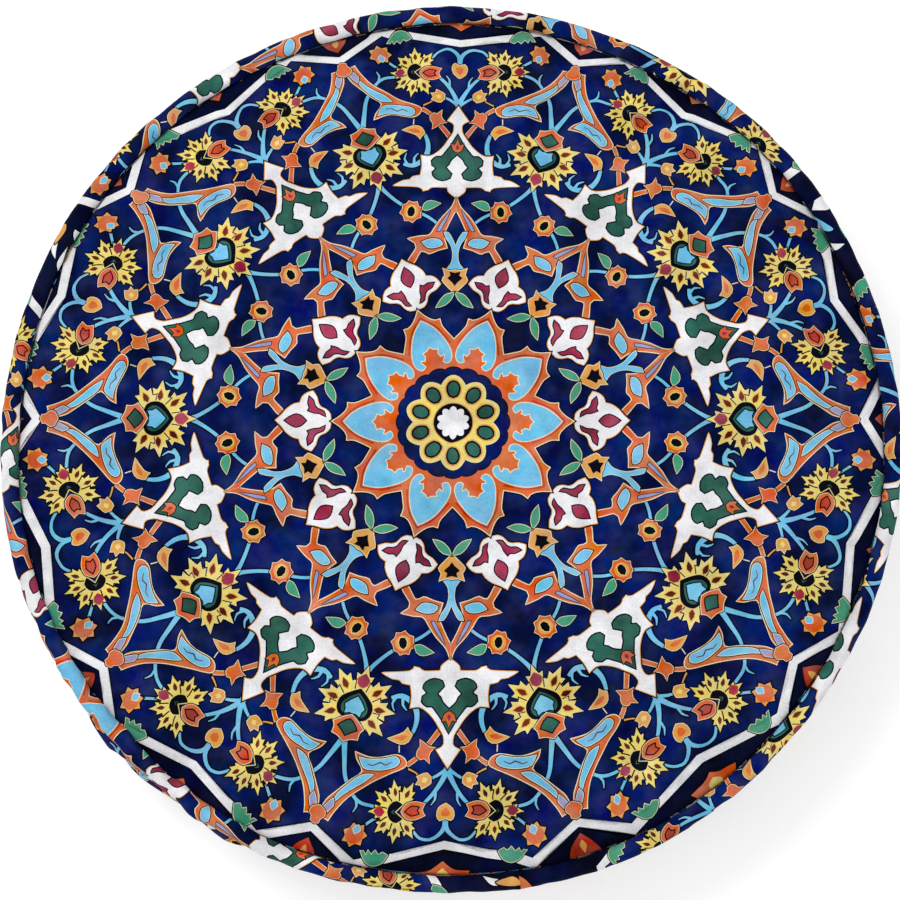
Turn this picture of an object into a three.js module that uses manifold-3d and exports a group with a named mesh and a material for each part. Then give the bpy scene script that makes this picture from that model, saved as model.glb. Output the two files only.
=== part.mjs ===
// Round floor cushion: a piped, box-sided cotton cover with a zip gusset at the back, over a calico-cased fibre pad.
// Millimetres, +Z up. The origin is on the floor at the middle of the base. +Y is the back, where the zip is.
import * as THREE from "three";
import { mergeVertices } from "three/addons/utils/BufferGeometryUtils.js";
import Module from "manifold-3d";

const wasm = await Module();
wasm.setup();

// ---------------------------------------------------------------- driving dimensions
const OVERALL_D = 600; // outside the piping
const PIPING_D = 13; // finished piping, cord and casing
const PIPE_R = OVERALL_D / 2 - PIPING_D / 2; // radius of the piping's centre line
const Z_TOP_PIPE = 113; // height of the upper piping's centre
const Z_LOW_PIPE = 15; // height of the lower piping's centre
const CROWN_Z = 145; // top of the crowned seat
const CLOTH = 1.0; // printed cotton, two plies where it is turned in
const CASING_T = 0.8; // bias strip round the cord
const CORD_R = 5.0; // piping cord
const SEAM_R = 286.8; // where panel, piping and band are sewn together
const ALLOWANCE = 9.8; // seam allowance, turned in towards the middle
const BAND_R = 294.6; // outside of the box side
const SEGMENTS = 48; // facets round the cover
const PAD_SEGMENTS = 32; // facets round the pad inside

const ZIP_Z = 64; // height of the zip's centre line
const ZIP_SEGMENTS = 120; // finer facets, because the slider runs along them
const GUSSET = [28, 152]; // degrees, from +X towards +Y
const CHAIN = [32, 148.4]; // the length of coil that can open
const SLIDER_AT = 147.2; // the slider's place when the zip is closed
const TAPE_IN = 292.2,
  TAPE_T = 0.6,
  TAPE_EDGE = 0.9,
  TAPE_W = 14;
const COIL_IN = 293.1,
  COIL_T = 2.2,
  COIL_EDGE = 0.75,
  COIL_W = 2.35;
const SLIDER_L = 12,
  SLIDER_W = 9.6,
  PLATE_T = 1.1;
const PLATE_OUT_IN = 295.7; // underside of the slider's outer plate
const PLATE_BACK_OUT = 291.8; // face of the slider's back plate, behind the tape
const PIVOT_R = 298.4; // the pull tab's hinge bar, under the bridge
const TAB_T = 1.2,
  TAB_W = 7.6,
  TAB_L = 27;

const rad = THREE.MathUtils.degToRad;

// ---------------------------------------------------------------- helpers
function solid(geometry) {
  const g = geometry.index ? geometry.toNonIndexed() : geometry.clone();
  g.deleteAttribute("normal");
  g.deleteAttribute("uv");
  const m = mergeVertices(g, 1e-4);
  return new wasm.Manifold(
    new wasm.Mesh({
      numProp: 3,
      vertProperties: m.attributes.position.array,
      triVerts: new Uint32Array(m.index.array),
    }),
  );
}

function geometryOf(manifold) {
  const m = manifold.getMesh(),
    n = m.numProp;
  const v = new Float32Array(m.numVert * 3);
  for (let i = 0; i < m.numVert; i++)
    v.set(m.vertProperties.subarray(i * n, i * n + 3), i * 3);
  const g = new THREE.BufferGeometry();
  g.setAttribute("position", new THREE.BufferAttribute(v, 3));
  g.setIndex(new THREE.BufferAttribute(new Uint32Array(m.triVerts), 1));
  g.computeVertexNormals();
  return g;
}

// A profile of [radius, height] points turned about Z. It closes on itself, or starts and ends on the axis.
function turned(points, segments) {
  const onAxis = points[0][0] === 0;
  let area = 0;
  const ring = onAxis ? points : [...points, points[0]];
  points.forEach(([x, y], i) => {
    const [u, v] = points[(i + 1) % points.length];
    area += x * v - u * y;
  });
  const ordered = area > 0 ? ring : [...ring].reverse();
  const g = new THREE.LatheGeometry(
    ordered.map(([x, y]) => new THREE.Vector2(x, y)),
    segments,
  );
  g.rotateX(Math.PI / 2);
  return g;
}

// A wedge of space between two angles in degrees, counted from +X towards +Y.
function wedge(from, to) {
  const s = new THREE.Shape();
  s.moveTo(0, 0);
  const steps = Math.ceil((to - from) / 20);
  for (let i = 0; i <= steps; i++) {
    const a = rad(from + ((to - from) * i) / steps);
    s.lineTo(480 * Math.cos(a), 480 * Math.sin(a));
  }
  s.closePath();
  const g = new THREE.ExtrudeGeometry(s, { depth: 300, bevelEnabled: false });
  g.translate(0, 0, -80);
  return solid(g);
}

function sector(points, segments, from, to) {
  return geometryOf(solid(turned(points, segments)).intersect(wedge(from, to)));
}

const arc = (cx, cy, r, from, to, steps) =>
  Array.from({ length: steps + 1 }, (_, i) => {
    const a = rad(from + ((to - from) * i) / steps);
    return [cx + r * Math.cos(a), cy + r * Math.sin(a)];
  });

const material = (color, roughness, metalness = 0) =>
  new THREE.MeshStandardMaterial({ color, roughness, metalness });
const PRINT = material(0x172a7d, 0.82);
const CORD = material(0xe8e2d4, 0.9);
const CALICO = material(0xe9e4d6, 0.9);
const FIBRE = material(0xf4f4f2, 0.95);
const TAPE = material(0x141c46, 0.8);
const COIL = material(0x10183c, 0.45);
const METAL = material(0xb9b6ac, 0.32, 1);

const cushion = new THREE.Group();
function add(name, geometry, mat, parent = cushion) {
  const mesh = new THREE.Mesh(geometry, mat);
  mesh.name = name;
  parent.add(mesh);
  return mesh;
}

// ---------------------------------------------------------------- cover
// Seat panel: a crowned disc of cloth whose edge is turned in under itself at the seam.
const crown = [
  [0, CROWN_Z],
  [90, 143.2],
  [160, 139.4],
  [212, 134.2],
  [248, 128.6],
  [270, 123.9],
  [280.4, 119.9],
  [285.4, 116.9],
];
const hemTop = Z_TOP_PIPE + 2.3;
const under = (pts, t) => pts.map(([r, z]) => [Math.max(0, r - (r > 280 ? 0.55 : r > 240 ? 0.2 : 0)), z - t]);
add(
  "top_panel",
  turned(
    [
      ...crown,
      [SEAM_R, 114.9],
      [SEAM_R, Z_TOP_PIPE + 1.3],
      [SEAM_R - ALLOWANCE, Z_TOP_PIPE + 1.3],
      [SEAM_R - ALLOWANCE, hemTop],
      [284.5, hemTop + 0.15],
      ...under(crown.slice(0, -1), CLOTH).reverse(),
    ],
    SEGMENTS,
  ),
  PRINT,
);

// Base panel: flat where it stands on the floor, then curving up to the lower seam.
const base = [
  [0, 0],
  [252, 0],
  [267, 1.2],
  [277.5, 4.1],
  [284.2, 8.3],
  [SEAM_R, 12.8],
];
const hemLow = Z_LOW_PIPE - 2.3;
add(
  "bottom_panel",
  turned(
    [
      ...base,
      [SEAM_R, Z_LOW_PIPE - 1.3],
      [SEAM_R - ALLOWANCE, Z_LOW_PIPE - 1.3],
      [SEAM_R - ALLOWANCE, hemLow],
      [285.0, hemLow - 0.1],
      [283.2, 9.1],
      [277.1, 5.1],
      [266.8, 2.2],
      [251.9, 1.0],
      [0, 1.0],
    ],
    SEGMENTS,
  ),
  PRINT,
);

// Box side. The outside face hugs the piping at both seams; the allowance is turned in between the piping's flange and the pad.
const hug = PIPING_D / 2 + 0.4;
function bandProfile(low, high) {
  // low and high are the heights between which this strip runs; null means that it ends in the seam there.
  const outside = [],
    inside = [];
  if (low === null) {
    outside.push([SEAM_R - ALLOWANCE, Z_LOW_PIPE + 1.3]);
    outside.push(...arc(PIPE_R, Z_LOW_PIPE, hug, 166, 104, 2));
    inside.push([SEAM_R - ALLOWANCE, Z_LOW_PIPE + 2.3]);
    inside.push(...arc(PIPE_R, Z_LOW_PIPE, hug + CLOTH, 159, 100, 2));
    outside.push([BAND_R - 0.5, 24]);
    inside.push([BAND_R - 1.5, 24]);
  } else {
    outside.push([BAND_R, low]);
    inside.push([BAND_R - CLOTH, low]);
  }
  if (low === null && high === null) {
    outside.push([BAND_R, 45], [BAND_R, 84]);
    inside.push([BAND_R - CLOTH, 45], [BAND_R - CLOTH, 84]);
  }
  if (high === null) {
    outside.push([BAND_R - 0.5, 104]);
    inside.push([BAND_R - 1.5, 104]);
    outside.push(...arc(PIPE_R, Z_TOP_PIPE, hug, 256, 194, 2));
    outside.push([SEAM_R - ALLOWANCE, Z_TOP_PIPE - 1.3]);
    inside.push(...arc(PIPE_R, Z_TOP_PIPE, hug + CLOTH, 260, 201, 2));
    inside.push([SEAM_R - ALLOWANCE, Z_TOP_PIPE - 2.3]);
  } else {
    outside.push([BAND_R, high]);
    inside.push([BAND_R - CLOTH, high]);
  }
  return [...outside, ...inside.reverse()];
}
const GAP_DEG = 0.05;
add(
  "boxing_band",
  sector(bandProfile(null, null), SEGMENTS, GUSSET[1] + GAP_DEG, GUSSET[0] + 360 - GAP_DEG),
  PRINT,
);
const OPENING = 6.0; // half the slot between the two gusset strips
add(
  "zip_gusset_upper",
  sector(bandProfile(ZIP_Z + OPENING, null), SEGMENTS, GUSSET[0] + GAP_DEG, GUSSET[1] - GAP_DEG),
  PRINT,
);
add(
  "zip_gusset_lower",
  sector(bandProfile(null, ZIP_Z - OPENING), SEGMENTS, GUSSET[0] + GAP_DEG, GUSSET[1] - GAP_DEG),
  PRINT,
);

// Piping: a cord in a bias-cut casing, whose two plies run in between the seam allowances.
function casing(z) {
  const R = PIPING_D / 2,
    r = R - CASING_T,
    ply = 1.0,
    slot = 0.2,
    tail = SEAM_R - ALLOWANCE;
  const a = THREE.MathUtils.radToDeg(Math.asin(ply / R)),
    b = THREE.MathUtils.radToDeg(Math.asin(slot / r));
  return [
    [tail, z + ply],
    ...arc(PIPE_R, z, R, 180 - a, -180 + a, 8),
    [tail, z - ply],
    [tail, z - slot],
    ...arc(PIPE_R, z, r, -180 + b, 180 - b, 9),
    [tail, z + slot],
  ];
}
for (const [name, z] of [
  ["top_piping", Z_TOP_PIPE],
  ["bottom_piping", Z_LOW_PIPE],
]) {
  add(name + "_casing", turned(casing(z), SEGMENTS), PRINT);
  add(name + "_cord", turned(arc(PIPE_R, z, CORD_R, 0, 300, 5), SEGMENTS), CORD);
}

// ---------------------------------------------------------------- pad inside the cover
// The case's own seams run where its round panels meet its side.
const padTop = [
  [0, 143.0],
  [120, 140.0],
  [200, 133.2],
  [244, 126.2],
  [266, 119.8],
  [274.2, 113.6],
];
const padSide = [
  [275.4, 109.0],
  [284, 100.5],
  [287.6, 84],
  [287.6, 44],
  [284, 27.5],
  [275.4, 19.2],
];
const padBase = [
  [274.2, 14.6],
  [268, 7.0],
  [250, 2.2],
  [0, 1.6],
];
const CASE_T = 0.8;
const inward = ([r, z], t = CASE_T) => {
  // towards a point inside the pad, so that a shell of even enough thickness is left
  const cr = Math.min(r, 236),
    cz = 66;
  const d = Math.hypot(r - cr, z - cz) || 1;
  return [r - ((r - cr) / d) * t * (r > 236 ? 1.15 : 0), z - ((z - cz) / d) * t * 1.15];
};
const shell = (pts, t = CASE_T) => [...pts, ...pts.map((p) => inward(p, t)).reverse()];
add("inner_case_top", turned(shell(padTop), PAD_SEGMENTS), CALICO);
add("inner_case_side", turned(shell(padSide), PAD_SEGMENTS), CALICO);
add("inner_case_base", turned(shell(padBase), PAD_SEGMENTS), CALICO);
add(
  "fibre_filling",
  turned(
    [...padTop, ...padSide, ...padBase].map((p) => inward(p, 1.9)),
    PAD_SEGMENTS,
  ),
  FIBRE,
);

// ---------------------------------------------------------------- zip
const rect = (r0, r1, z0, z1) => [
  [r0, z0],
  [r1, z0],
  [r1, z1],
  [r0, z1],
];
for (const [side, s] of [
  ["upper", 1],
  ["lower", -1],
]) {
  const z = (a, b) => (s > 0 ? [ZIP_Z + a, ZIP_Z + b] : [ZIP_Z - b, ZIP_Z - a]);
  add(
    "zip_tape_" + side,
    sector(rect(TAPE_IN, TAPE_IN + TAPE_T, ...z(TAPE_EDGE, TAPE_EDGE + TAPE_W)), ZIP_SEGMENTS, GUSSET[0] + 1, GUSSET[1] - 1),
    TAPE,
  );
  add(
    "zip_coil_" + side,
    sector(rect(COIL_IN, COIL_IN + COIL_T, ...z(COIL_EDGE, COIL_EDGE + COIL_W)), ZIP_SEGMENTS, CHAIN[0], CHAIN[1]),
    COIL,
  );
  // one end stop on each tape at the closed end
  add(
    "zip_top_stop_" + side,
    sector(rect(COIL_IN, COIL_IN + COIL_T + 1.0, ...z(COIL_EDGE, COIL_EDGE + 3)), ZIP_SEGMENTS, CHAIN[1] + 0.1, CHAIN[1] + 0.85),
    METAL,
  );
}
// the stop that holds both coils together at the other end
add(
  "zip_bottom_stop",
  sector(rect(COIL_IN, COIL_IN + COIL_T + 1.0, ZIP_Z - 3.6, ZIP_Z + 3.6), ZIP_SEGMENTS, CHAIN[0] - 1.1, CHAIN[0] - 0.1),
  METAL,
);

// Slider, drawn with X outwards from the cover, Y along the zip and Z up, then turned to its place.
function block(x0, x1, y0, y1, z0, z1, corner = 0) {
  const s = new THREE.Shape();
  if (!corner) {
    s.moveTo(y0, z0);
    s.lineTo(y1, z0);
    s.lineTo(y1, z1);
    s.lineTo(y0, z1);
  } else {
    s.moveTo(y0 + corner, z0);
    s.lineTo(y1 - corner, z0);
    s.quadraticCurveTo(y1, z0, y1, z0 + corner);
    s.lineTo(y1, z1 - corner);
    s.quadraticCurveTo(y1, z1, y1 - corner, z1);
    s.lineTo(y0 + corner, z1);
    s.quadraticCurveTo(y0, z1, y0, z1 - corner);
    s.lineTo(y0, z0 + corner);
    s.quadraticCurveTo(y0, z0, y0 + corner, z0);
  }
  const g = new THREE.ExtrudeGeometry(s, { depth: x1 - x0, bevelEnabled: false, curveSegments: 3 });
  // the shape's x runs along Y, its y along Z, and the depth along X
  g.applyMatrix4(new THREE.Matrix4().set(0, 0, 1, x0, 1, 0, 0, 0, 0, 1, 0, 0, 0, 0, 0, 1));
  return g;
}
const h = SLIDER_L / 2,
  w = SLIDER_W / 2;
const outer = PLATE_OUT_IN + PLATE_T;
let body = solid(block(PLATE_OUT_IN, outer, -h, h, -w, w, 2.2)); // outer plate
body = body.add(solid(block(PLATE_BACK_OUT - PLATE_T, PLATE_BACK_OUT, -h, h, -w, w, 2.2))); // back plate
body = body.add(solid(block(PLATE_BACK_OUT - 0.2, PLATE_OUT_IN + 0.2, h - 4.4, h - 1.2, -0.45, 0.45))); // post between the plates
for (const s of [-1, 1])
  body = body.add(solid(block(293.3, PLATE_OUT_IN + 0.2, -h + 2, h - 3.4, s > 0 ? w - 1.0 : -w, s > 0 ? w : -w + 1.0))); // side flanges
// bridge along the slider, which the tab's hinge bar passes under
const bridge = new THREE.Shape();
bridge.moveTo(-4.9, outer - 0.2);
bridge.lineTo(-4.9, 299.6);
bridge.quadraticCurveTo(-4.7, 300.9, -3.2, 300.9);
bridge.lineTo(3.2, 300.9);
bridge.quadraticCurveTo(4.7, 300.9, 4.9, 299.6);
bridge.lineTo(4.9, outer - 0.2);
bridge.lineTo(3.6, outer - 0.2);
bridge.lineTo(3.5, 299.3);
bridge.lineTo(3.1, 299.7);
bridge.lineTo(-3.1, 299.7);
bridge.lineTo(-3.5, 299.3);
bridge.lineTo(-3.6, outer - 0.2);
bridge.closePath();
const bridgeG = new THREE.ExtrudeGeometry(bridge, { depth: 1.6, bevelEnabled: false, curveSegments: 3 });
bridgeG.applyMatrix4(new THREE.Matrix4().set(0, 1, 0, 0, 1, 0, 0, 0, 0, 0, 1, -0.8, 0, 0, 0, 1));
// that matrix swaps two axes, so the faces are turned back to point outwards
const bp = bridgeG.attributes.position;
for (let i = 0; i < bp.count; i += 3) {
  const a = [bp.getX(i), bp.getY(i), bp.getZ(i)];
  bp.setXYZ(i, bp.getX(i + 1), bp.getY(i + 1), bp.getZ(i + 1));
  bp.setXYZ(i + 1, ...a);
}
body = body.add(solid(bridgeG));

const zip = new THREE.Group();
zip.position.z = ZIP_Z;
zip.rotation.z = rad(SLIDER_AT);
cushion.add(zip);
add("zip_slider", geometryOf(body), METAL, zip);

// Pull tab: its hinge bar lies under the bridge, and it rests flat along the closed chain.
let tab = solid(block(PIVOT_R - TAB_T / 2, PIVOT_R + TAB_T / 2, -TAB_L, 0.7, -TAB_W / 2, TAB_W / 2, 1.6));
tab = tab.subtract(solid(block(PIVOT_R - 2, PIVOT_R + 2, -8.2, -0.7, -1.7, 1.7)));
tab = tab.subtract(solid(block(PIVOT_R - 2, PIVOT_R + 2, -TAB_L + 3.2, -TAB_L + 9.5, -1.6, 1.6, 1.2)));
add("zip_pull_tab", geometryOf(tab), METAL, zip);

export default cushion;
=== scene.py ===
"""The looks of a round, piped, box-sided floor cushion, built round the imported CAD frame. Metres, +Z up, +Y the back."""

import math
import random

import bmesh
import bpy
import numpy as np
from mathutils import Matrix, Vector, geometry


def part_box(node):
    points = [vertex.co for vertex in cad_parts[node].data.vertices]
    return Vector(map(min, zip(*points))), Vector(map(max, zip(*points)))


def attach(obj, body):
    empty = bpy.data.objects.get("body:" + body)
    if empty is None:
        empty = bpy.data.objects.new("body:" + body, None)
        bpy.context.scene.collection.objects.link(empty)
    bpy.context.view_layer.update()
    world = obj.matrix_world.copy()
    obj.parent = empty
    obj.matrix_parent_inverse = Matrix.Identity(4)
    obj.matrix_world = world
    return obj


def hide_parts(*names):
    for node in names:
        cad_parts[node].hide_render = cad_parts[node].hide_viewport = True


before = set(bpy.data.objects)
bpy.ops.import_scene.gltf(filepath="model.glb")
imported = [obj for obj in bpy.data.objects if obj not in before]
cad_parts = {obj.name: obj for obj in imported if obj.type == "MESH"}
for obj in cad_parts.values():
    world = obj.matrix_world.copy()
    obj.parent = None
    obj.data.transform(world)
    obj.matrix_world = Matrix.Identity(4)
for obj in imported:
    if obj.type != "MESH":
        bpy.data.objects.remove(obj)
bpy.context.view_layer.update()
rng = np.random.default_rng(11)

# ------------------------------------------------------------------ places, taken from the frame
MM = 0.001
R_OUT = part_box("top_piping_casing")[1].x  # outside of the piping
R_PIPE = R_OUT - (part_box("top_piping_casing")[1].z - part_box("top_piping_casing")[0].z) / 2
PIPE_T = (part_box("top_piping_casing")[1].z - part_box("top_piping_casing")[0].z) / 2
Z_TOP = (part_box("top_piping_casing")[1].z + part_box("top_piping_casing")[0].z) / 2
Z_LOW = (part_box("bottom_piping_casing")[1].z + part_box("bottom_piping_casing")[0].z) / 2
R_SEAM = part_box("top_panel")[1].x
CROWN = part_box("top_panel")[1].z
R_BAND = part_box("boxing_band")[1].x
Z_ZIP = (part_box("zip_slider")[1].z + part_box("zip_slider")[0].z) / 2
GUSSET = (math.radians(28), math.radians(152))
PX = 1 / 1500  # one print unit, in metres


# ------------------------------------------------------------------ the print
# One 18 degree half of a ten-fold medallion is drawn as filled outlines, and turned and mirrored twenty times.
# Units are print units, of which PRINT_MM make a millimetre. "P" and "Q" are the two kinds of mirror axis.
SIN18, COS18 = math.sin(math.pi / 10), math.cos(math.pi / 10)
COLOURS = {
    "navy": (4, 22, 84),
    "deep": (3, 8, 42),
    "blue": (110, 184, 222),
    "orange": (206, 102, 56),
    "rust": (176, 66, 48),
    "amber": (214, 154, 80),
    "yellow": (224, 204, 112),
    "cream": (226, 214, 178),
    "white": (228, 228, 232),
    "green": (70, 150, 120),
    "bottle": (45, 94, 82),
    "crimson": (150, 50, 76),
    "lilac": (140, 152, 194),
    "ink": (8, 8, 22),
    "seed": (96, 42, 28),
}


def smooth_line(pts, closed, step=3.2):
    """Points through which a soft line runs. A third value marks a sharp corner."""
    n = len(pts)
    out = []
    for i in range(n if closed else n - 1):
        p1, p2 = pts[i], pts[(i + 1) % n]
        c1, c2 = len(p1) > 2, len(p2) > 2
        p0 = pts[(i - 1) % n] if closed or i else p1
        p3 = pts[(i + 2) % n] if closed or i + 2 < n else p2
        if c1:
            p0 = p1
        if c2:
            p3 = p2
        length = math.hypot(p2[0] - p1[0], p2[1] - p1[1])
        k = max(1, min(8, int(round(length / step))))
        for j in range(k):
            t = j / k
            t2, t3 = t * t, t * t * t
            out.append(
                tuple(
                    0.5 * (2 * p1[a] + (p2[a] - p0[a]) * t + (2 * p0[a] - 5 * p1[a] + 4 * p2[a] - p3[a]) * t2 + (3 * p1[a] - p0[a] - 3 * p2[a] + p3[a]) * t3)
                    for a in (0, 1)
                )
            )
    if not closed:
        out.append(tuple(pts[-1][:2]))
    return out


def grown(poly, d):
    """The outline moved outwards by d, with blunt corners."""
    n = len(poly)
    area = sum(poly[i][0] * poly[(i + 1) % n][1] - poly[(i + 1) % n][0] * poly[i][1] for i in range(n))
    s = 1 if area > 0 else -1
    out = []
    for i in range(n):
        a, b, c = poly[i - 1], poly[i], poly[(i + 1) % n]
        l1 = math.hypot(b[0] - a[0], b[1] - a[1]) or 1e-9
        l2 = math.hypot(c[0] - b[0], c[1] - b[1]) or 1e-9
        n1 = ((b[1] - a[1]) / l1 * s, -(b[0] - a[0]) / l1 * s)
        n2 = ((c[1] - b[1]) / l2 * s, -(c[0] - b[0]) / l2 * s)
        m = (n1[0] + n2[0], n1[1] + n2[1])
        q = m[0] * m[0] + m[1] * m[1]
        k = 2 / max(q, 1.1)
        out.append((b[0] + m[0] * k * d, b[1] + m[1] * k * d))
    return out


def untangle(poly):
    """Where an outline crosses itself, the smaller of the two loops is left out."""
    pts = [tuple(p[:2]) for p in poly]
    size = lambda q: abs(sum(q[i][0] * q[(i + 1) % len(q)][1] - q[(i + 1) % len(q)][0] * q[i][1] for i in range(len(q))))
    for _ in range(60):
        a = np.array(pts)
        n = len(a)
        if n < 4:
            return pts
        d = np.roll(a, -1, 0) - a
        w = a[None] - a[:, None]
        den = d[:, None, 0] * d[None, :, 1] - d[:, None, 1] * d[None, :, 0]
        with np.errstate(divide="ignore", invalid="ignore"):
            t = (w[..., 0] * d[None, :, 1] - w[..., 1] * d[None, :, 0]) / den
            u = (w[..., 0] * d[:, None, 1] - w[..., 1] * d[:, None, 0]) / den
        i, j = np.indices((n, n))
        hit = (abs(den) > 1e-12) & (t > 1e-9) & (t < 1 - 1e-9) & (u > 1e-9) & (u < 1 - 1e-9) & (j > i + 1) & ~((i == 0) & (j == n - 1))
        if not hit.any():
            return pts
        i, j = (int(v) for v in np.argwhere(hit)[0])
        cross = tuple(float(v) for v in a[i] + t[i, j] * d[i])
        one, two = pts[i + 1 : j + 1] + [cross], pts[: i + 1] + [cross] + pts[j + 1 :]
        pts = one if size(one) > size(two) else two
    return pts


def true_place(a, y):
    """The drawing's radii are a little short towards the rim."""
    r = math.hypot(a, y)
    k = 1 + 0.00017 * r
    return a * k, y * k


class Print:
    def __init__(self):
        self.shapes = []  # (outline, colour), lowest first, in the frame whose +y axis is a Q axis
        self.held = None

    def put(self, poly, colour):
        poly = untangle(poly)
        if len(poly) > 2:
            (self.shapes if self.held is None else self.held).append((poly, colour))

    def edge(self, poly, width, colour):
        """A drawn edge goes under every shape of its group, so that joined stems have no lines across them."""
        poly = untangle(grown(untangle(poly), width + (0.5 if colour == "ink" else 0.0)))
        if len(poly) > 2:
            self.shapes.append((poly, colour))

    def together(self, work):
        self.held = []
        work()
        self.shapes += self.held
        self.held = None

    def _to_frame(self, poly, axis, true):
        if true:
            poly = [true_place(*p) for p in poly]
        if axis == "P":  # the P axis is 18 degrees clockwise from +y
            poly = [(x * COS18 + y * SIN18, -x * SIN18 + y * COS18) for x, y in poly]
        return poly

    def area(self, axis, colour, pts, edges=(), sym=True, true=False, step=3.2, thin=0.0):
        """pts are (across, along). A symmetric shape gives its right half, from its inner to its outer point on the axis."""
        line = smooth_line(pts, not sym, step)
        if sym:
            line = line + [(-x, y) for x, y in reversed(line) if abs(x) > 1e-6]
        if thin:
            line = untangle(grown(untangle(line), -thin))
        poly = self._to_frame(line, axis, true)
        both = [poly]
        if not sym:
            both.append(self._to_frame([(-x, y) for x, y in line], axis, true))
        for p in both:
            for width, c in edges:
                self.edge(p, width, c)
        for p in both:
            self.put(p, colour)

    def stroke(self, axis, colour, pts, widths, edges=(), true=False, step=3.5):
        line = smooth_line([p[:2] for p in pts], False, step)
        n = len(line)
        left, right = [], []
        for i, (x, y) in enumerate(line):
            a, b = line[max(0, i - 1)], line[min(n - 1, i + 1)]
            dx, dy = b[0] - a[0], b[1] - a[1]
            l = math.hypot(dx, dy) or 1e-9
            t = i / (n - 1) * (len(widths) - 1)
            k = min(int(t), len(widths) - 2)
            w = (widths[k] + (widths[k + 1] - widths[k]) * (t - k)) * 0.42
            left.append((x - dy / l * w, y + dx / l * w))
            right.append((x + dy / l * w, y - dx / l * w))
        poly = left + right[::-1]
        both = [self._to_frame(q, axis, true) for q in (poly, [(-x, y) for x, y in poly])]
        for p in both:
            for width, c in edges:
                self.edge(p, width, c)
        for p in both:
            self.put(p, colour)

    def at(self, axis, centre, turn, pts, colour, edges=(), true=False, mirrored=True, step=3.2, closed=True):
        """pts are (along, across) about a centre (across, along the axis), along the direction turn in degrees clockwise from outwards."""
        s, c = math.sin(math.radians(turn)), math.cos(math.radians(turn))
        place = lambda p: (centre[0] + p[0] * s + p[1] * c, centre[1] + p[0] * c - p[1] * s) + tuple(p[2:])
        self.area(axis, colour, [place(p) for p in pts], edges, sym=False, true=true, step=step)


def palmette(pr, axis, centre, turn, size, petals, true):
    """A spiky yellow flower: petals are directions in degrees from its bud."""
    petal = [(9, -3.2, 1), (15.5, -5.6), (21.6, -9.8, 1), (22.4, -6.4), (29.6, -8.0, 1), (28.4, -4.0), (38.5, 0, 1), (28.4, 4.0), (29.6, 8.0, 1), (22.4, 6.4), (21.6, 9.8, 1), (15.5, 5.6), (9, 3.2, 1)]
    thorn = [(10, -4.4), (18, -3.2), (25.5, 0, 1), (18, 3.2), (10, 4.4)]
    seed = [(18.2, 0, 1), (21.8, -2.7), (25.2, -2.2), (29.4, 0, 1), (25.2, 2.2), (21.8, 2.7)]
    heart = [(17.6, 0, 1), (21, -4.4), (25.6, -5.2), (30.4, 0, 1), (25.6, 5.2), (21, 4.4)]
    scale = lambda pts: [(p[0] * size, p[1] * size) + tuple(p[2:]) for p in pts]
    between = [(a + b) / 2 for a, b in zip(petals, petals[1:])] + [petals[0] - 19, petals[-1] + 19]
    line = [(1.0, "ink"), (0.4, "cream")] if size > 0.8 else [(0.8, "ink")]
    for d in between:
        pr.at(axis, centre, turn + d, scale(thorn), "yellow", line[:1], true)
    for d in petals:
        pr.at(axis, centre, turn + d, scale(petal), "yellow", line, true)
    for d in petals:
        if abs(d - 180) < 1:
            pr.at(axis, centre, turn + d, scale(heart), "crimson", [(0.9, "rust")], true)
        else:
            pr.at(axis, centre, turn + d, scale(seed), "seed", [(0.8, "amber")] if size > 0.8 else (), true)


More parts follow.
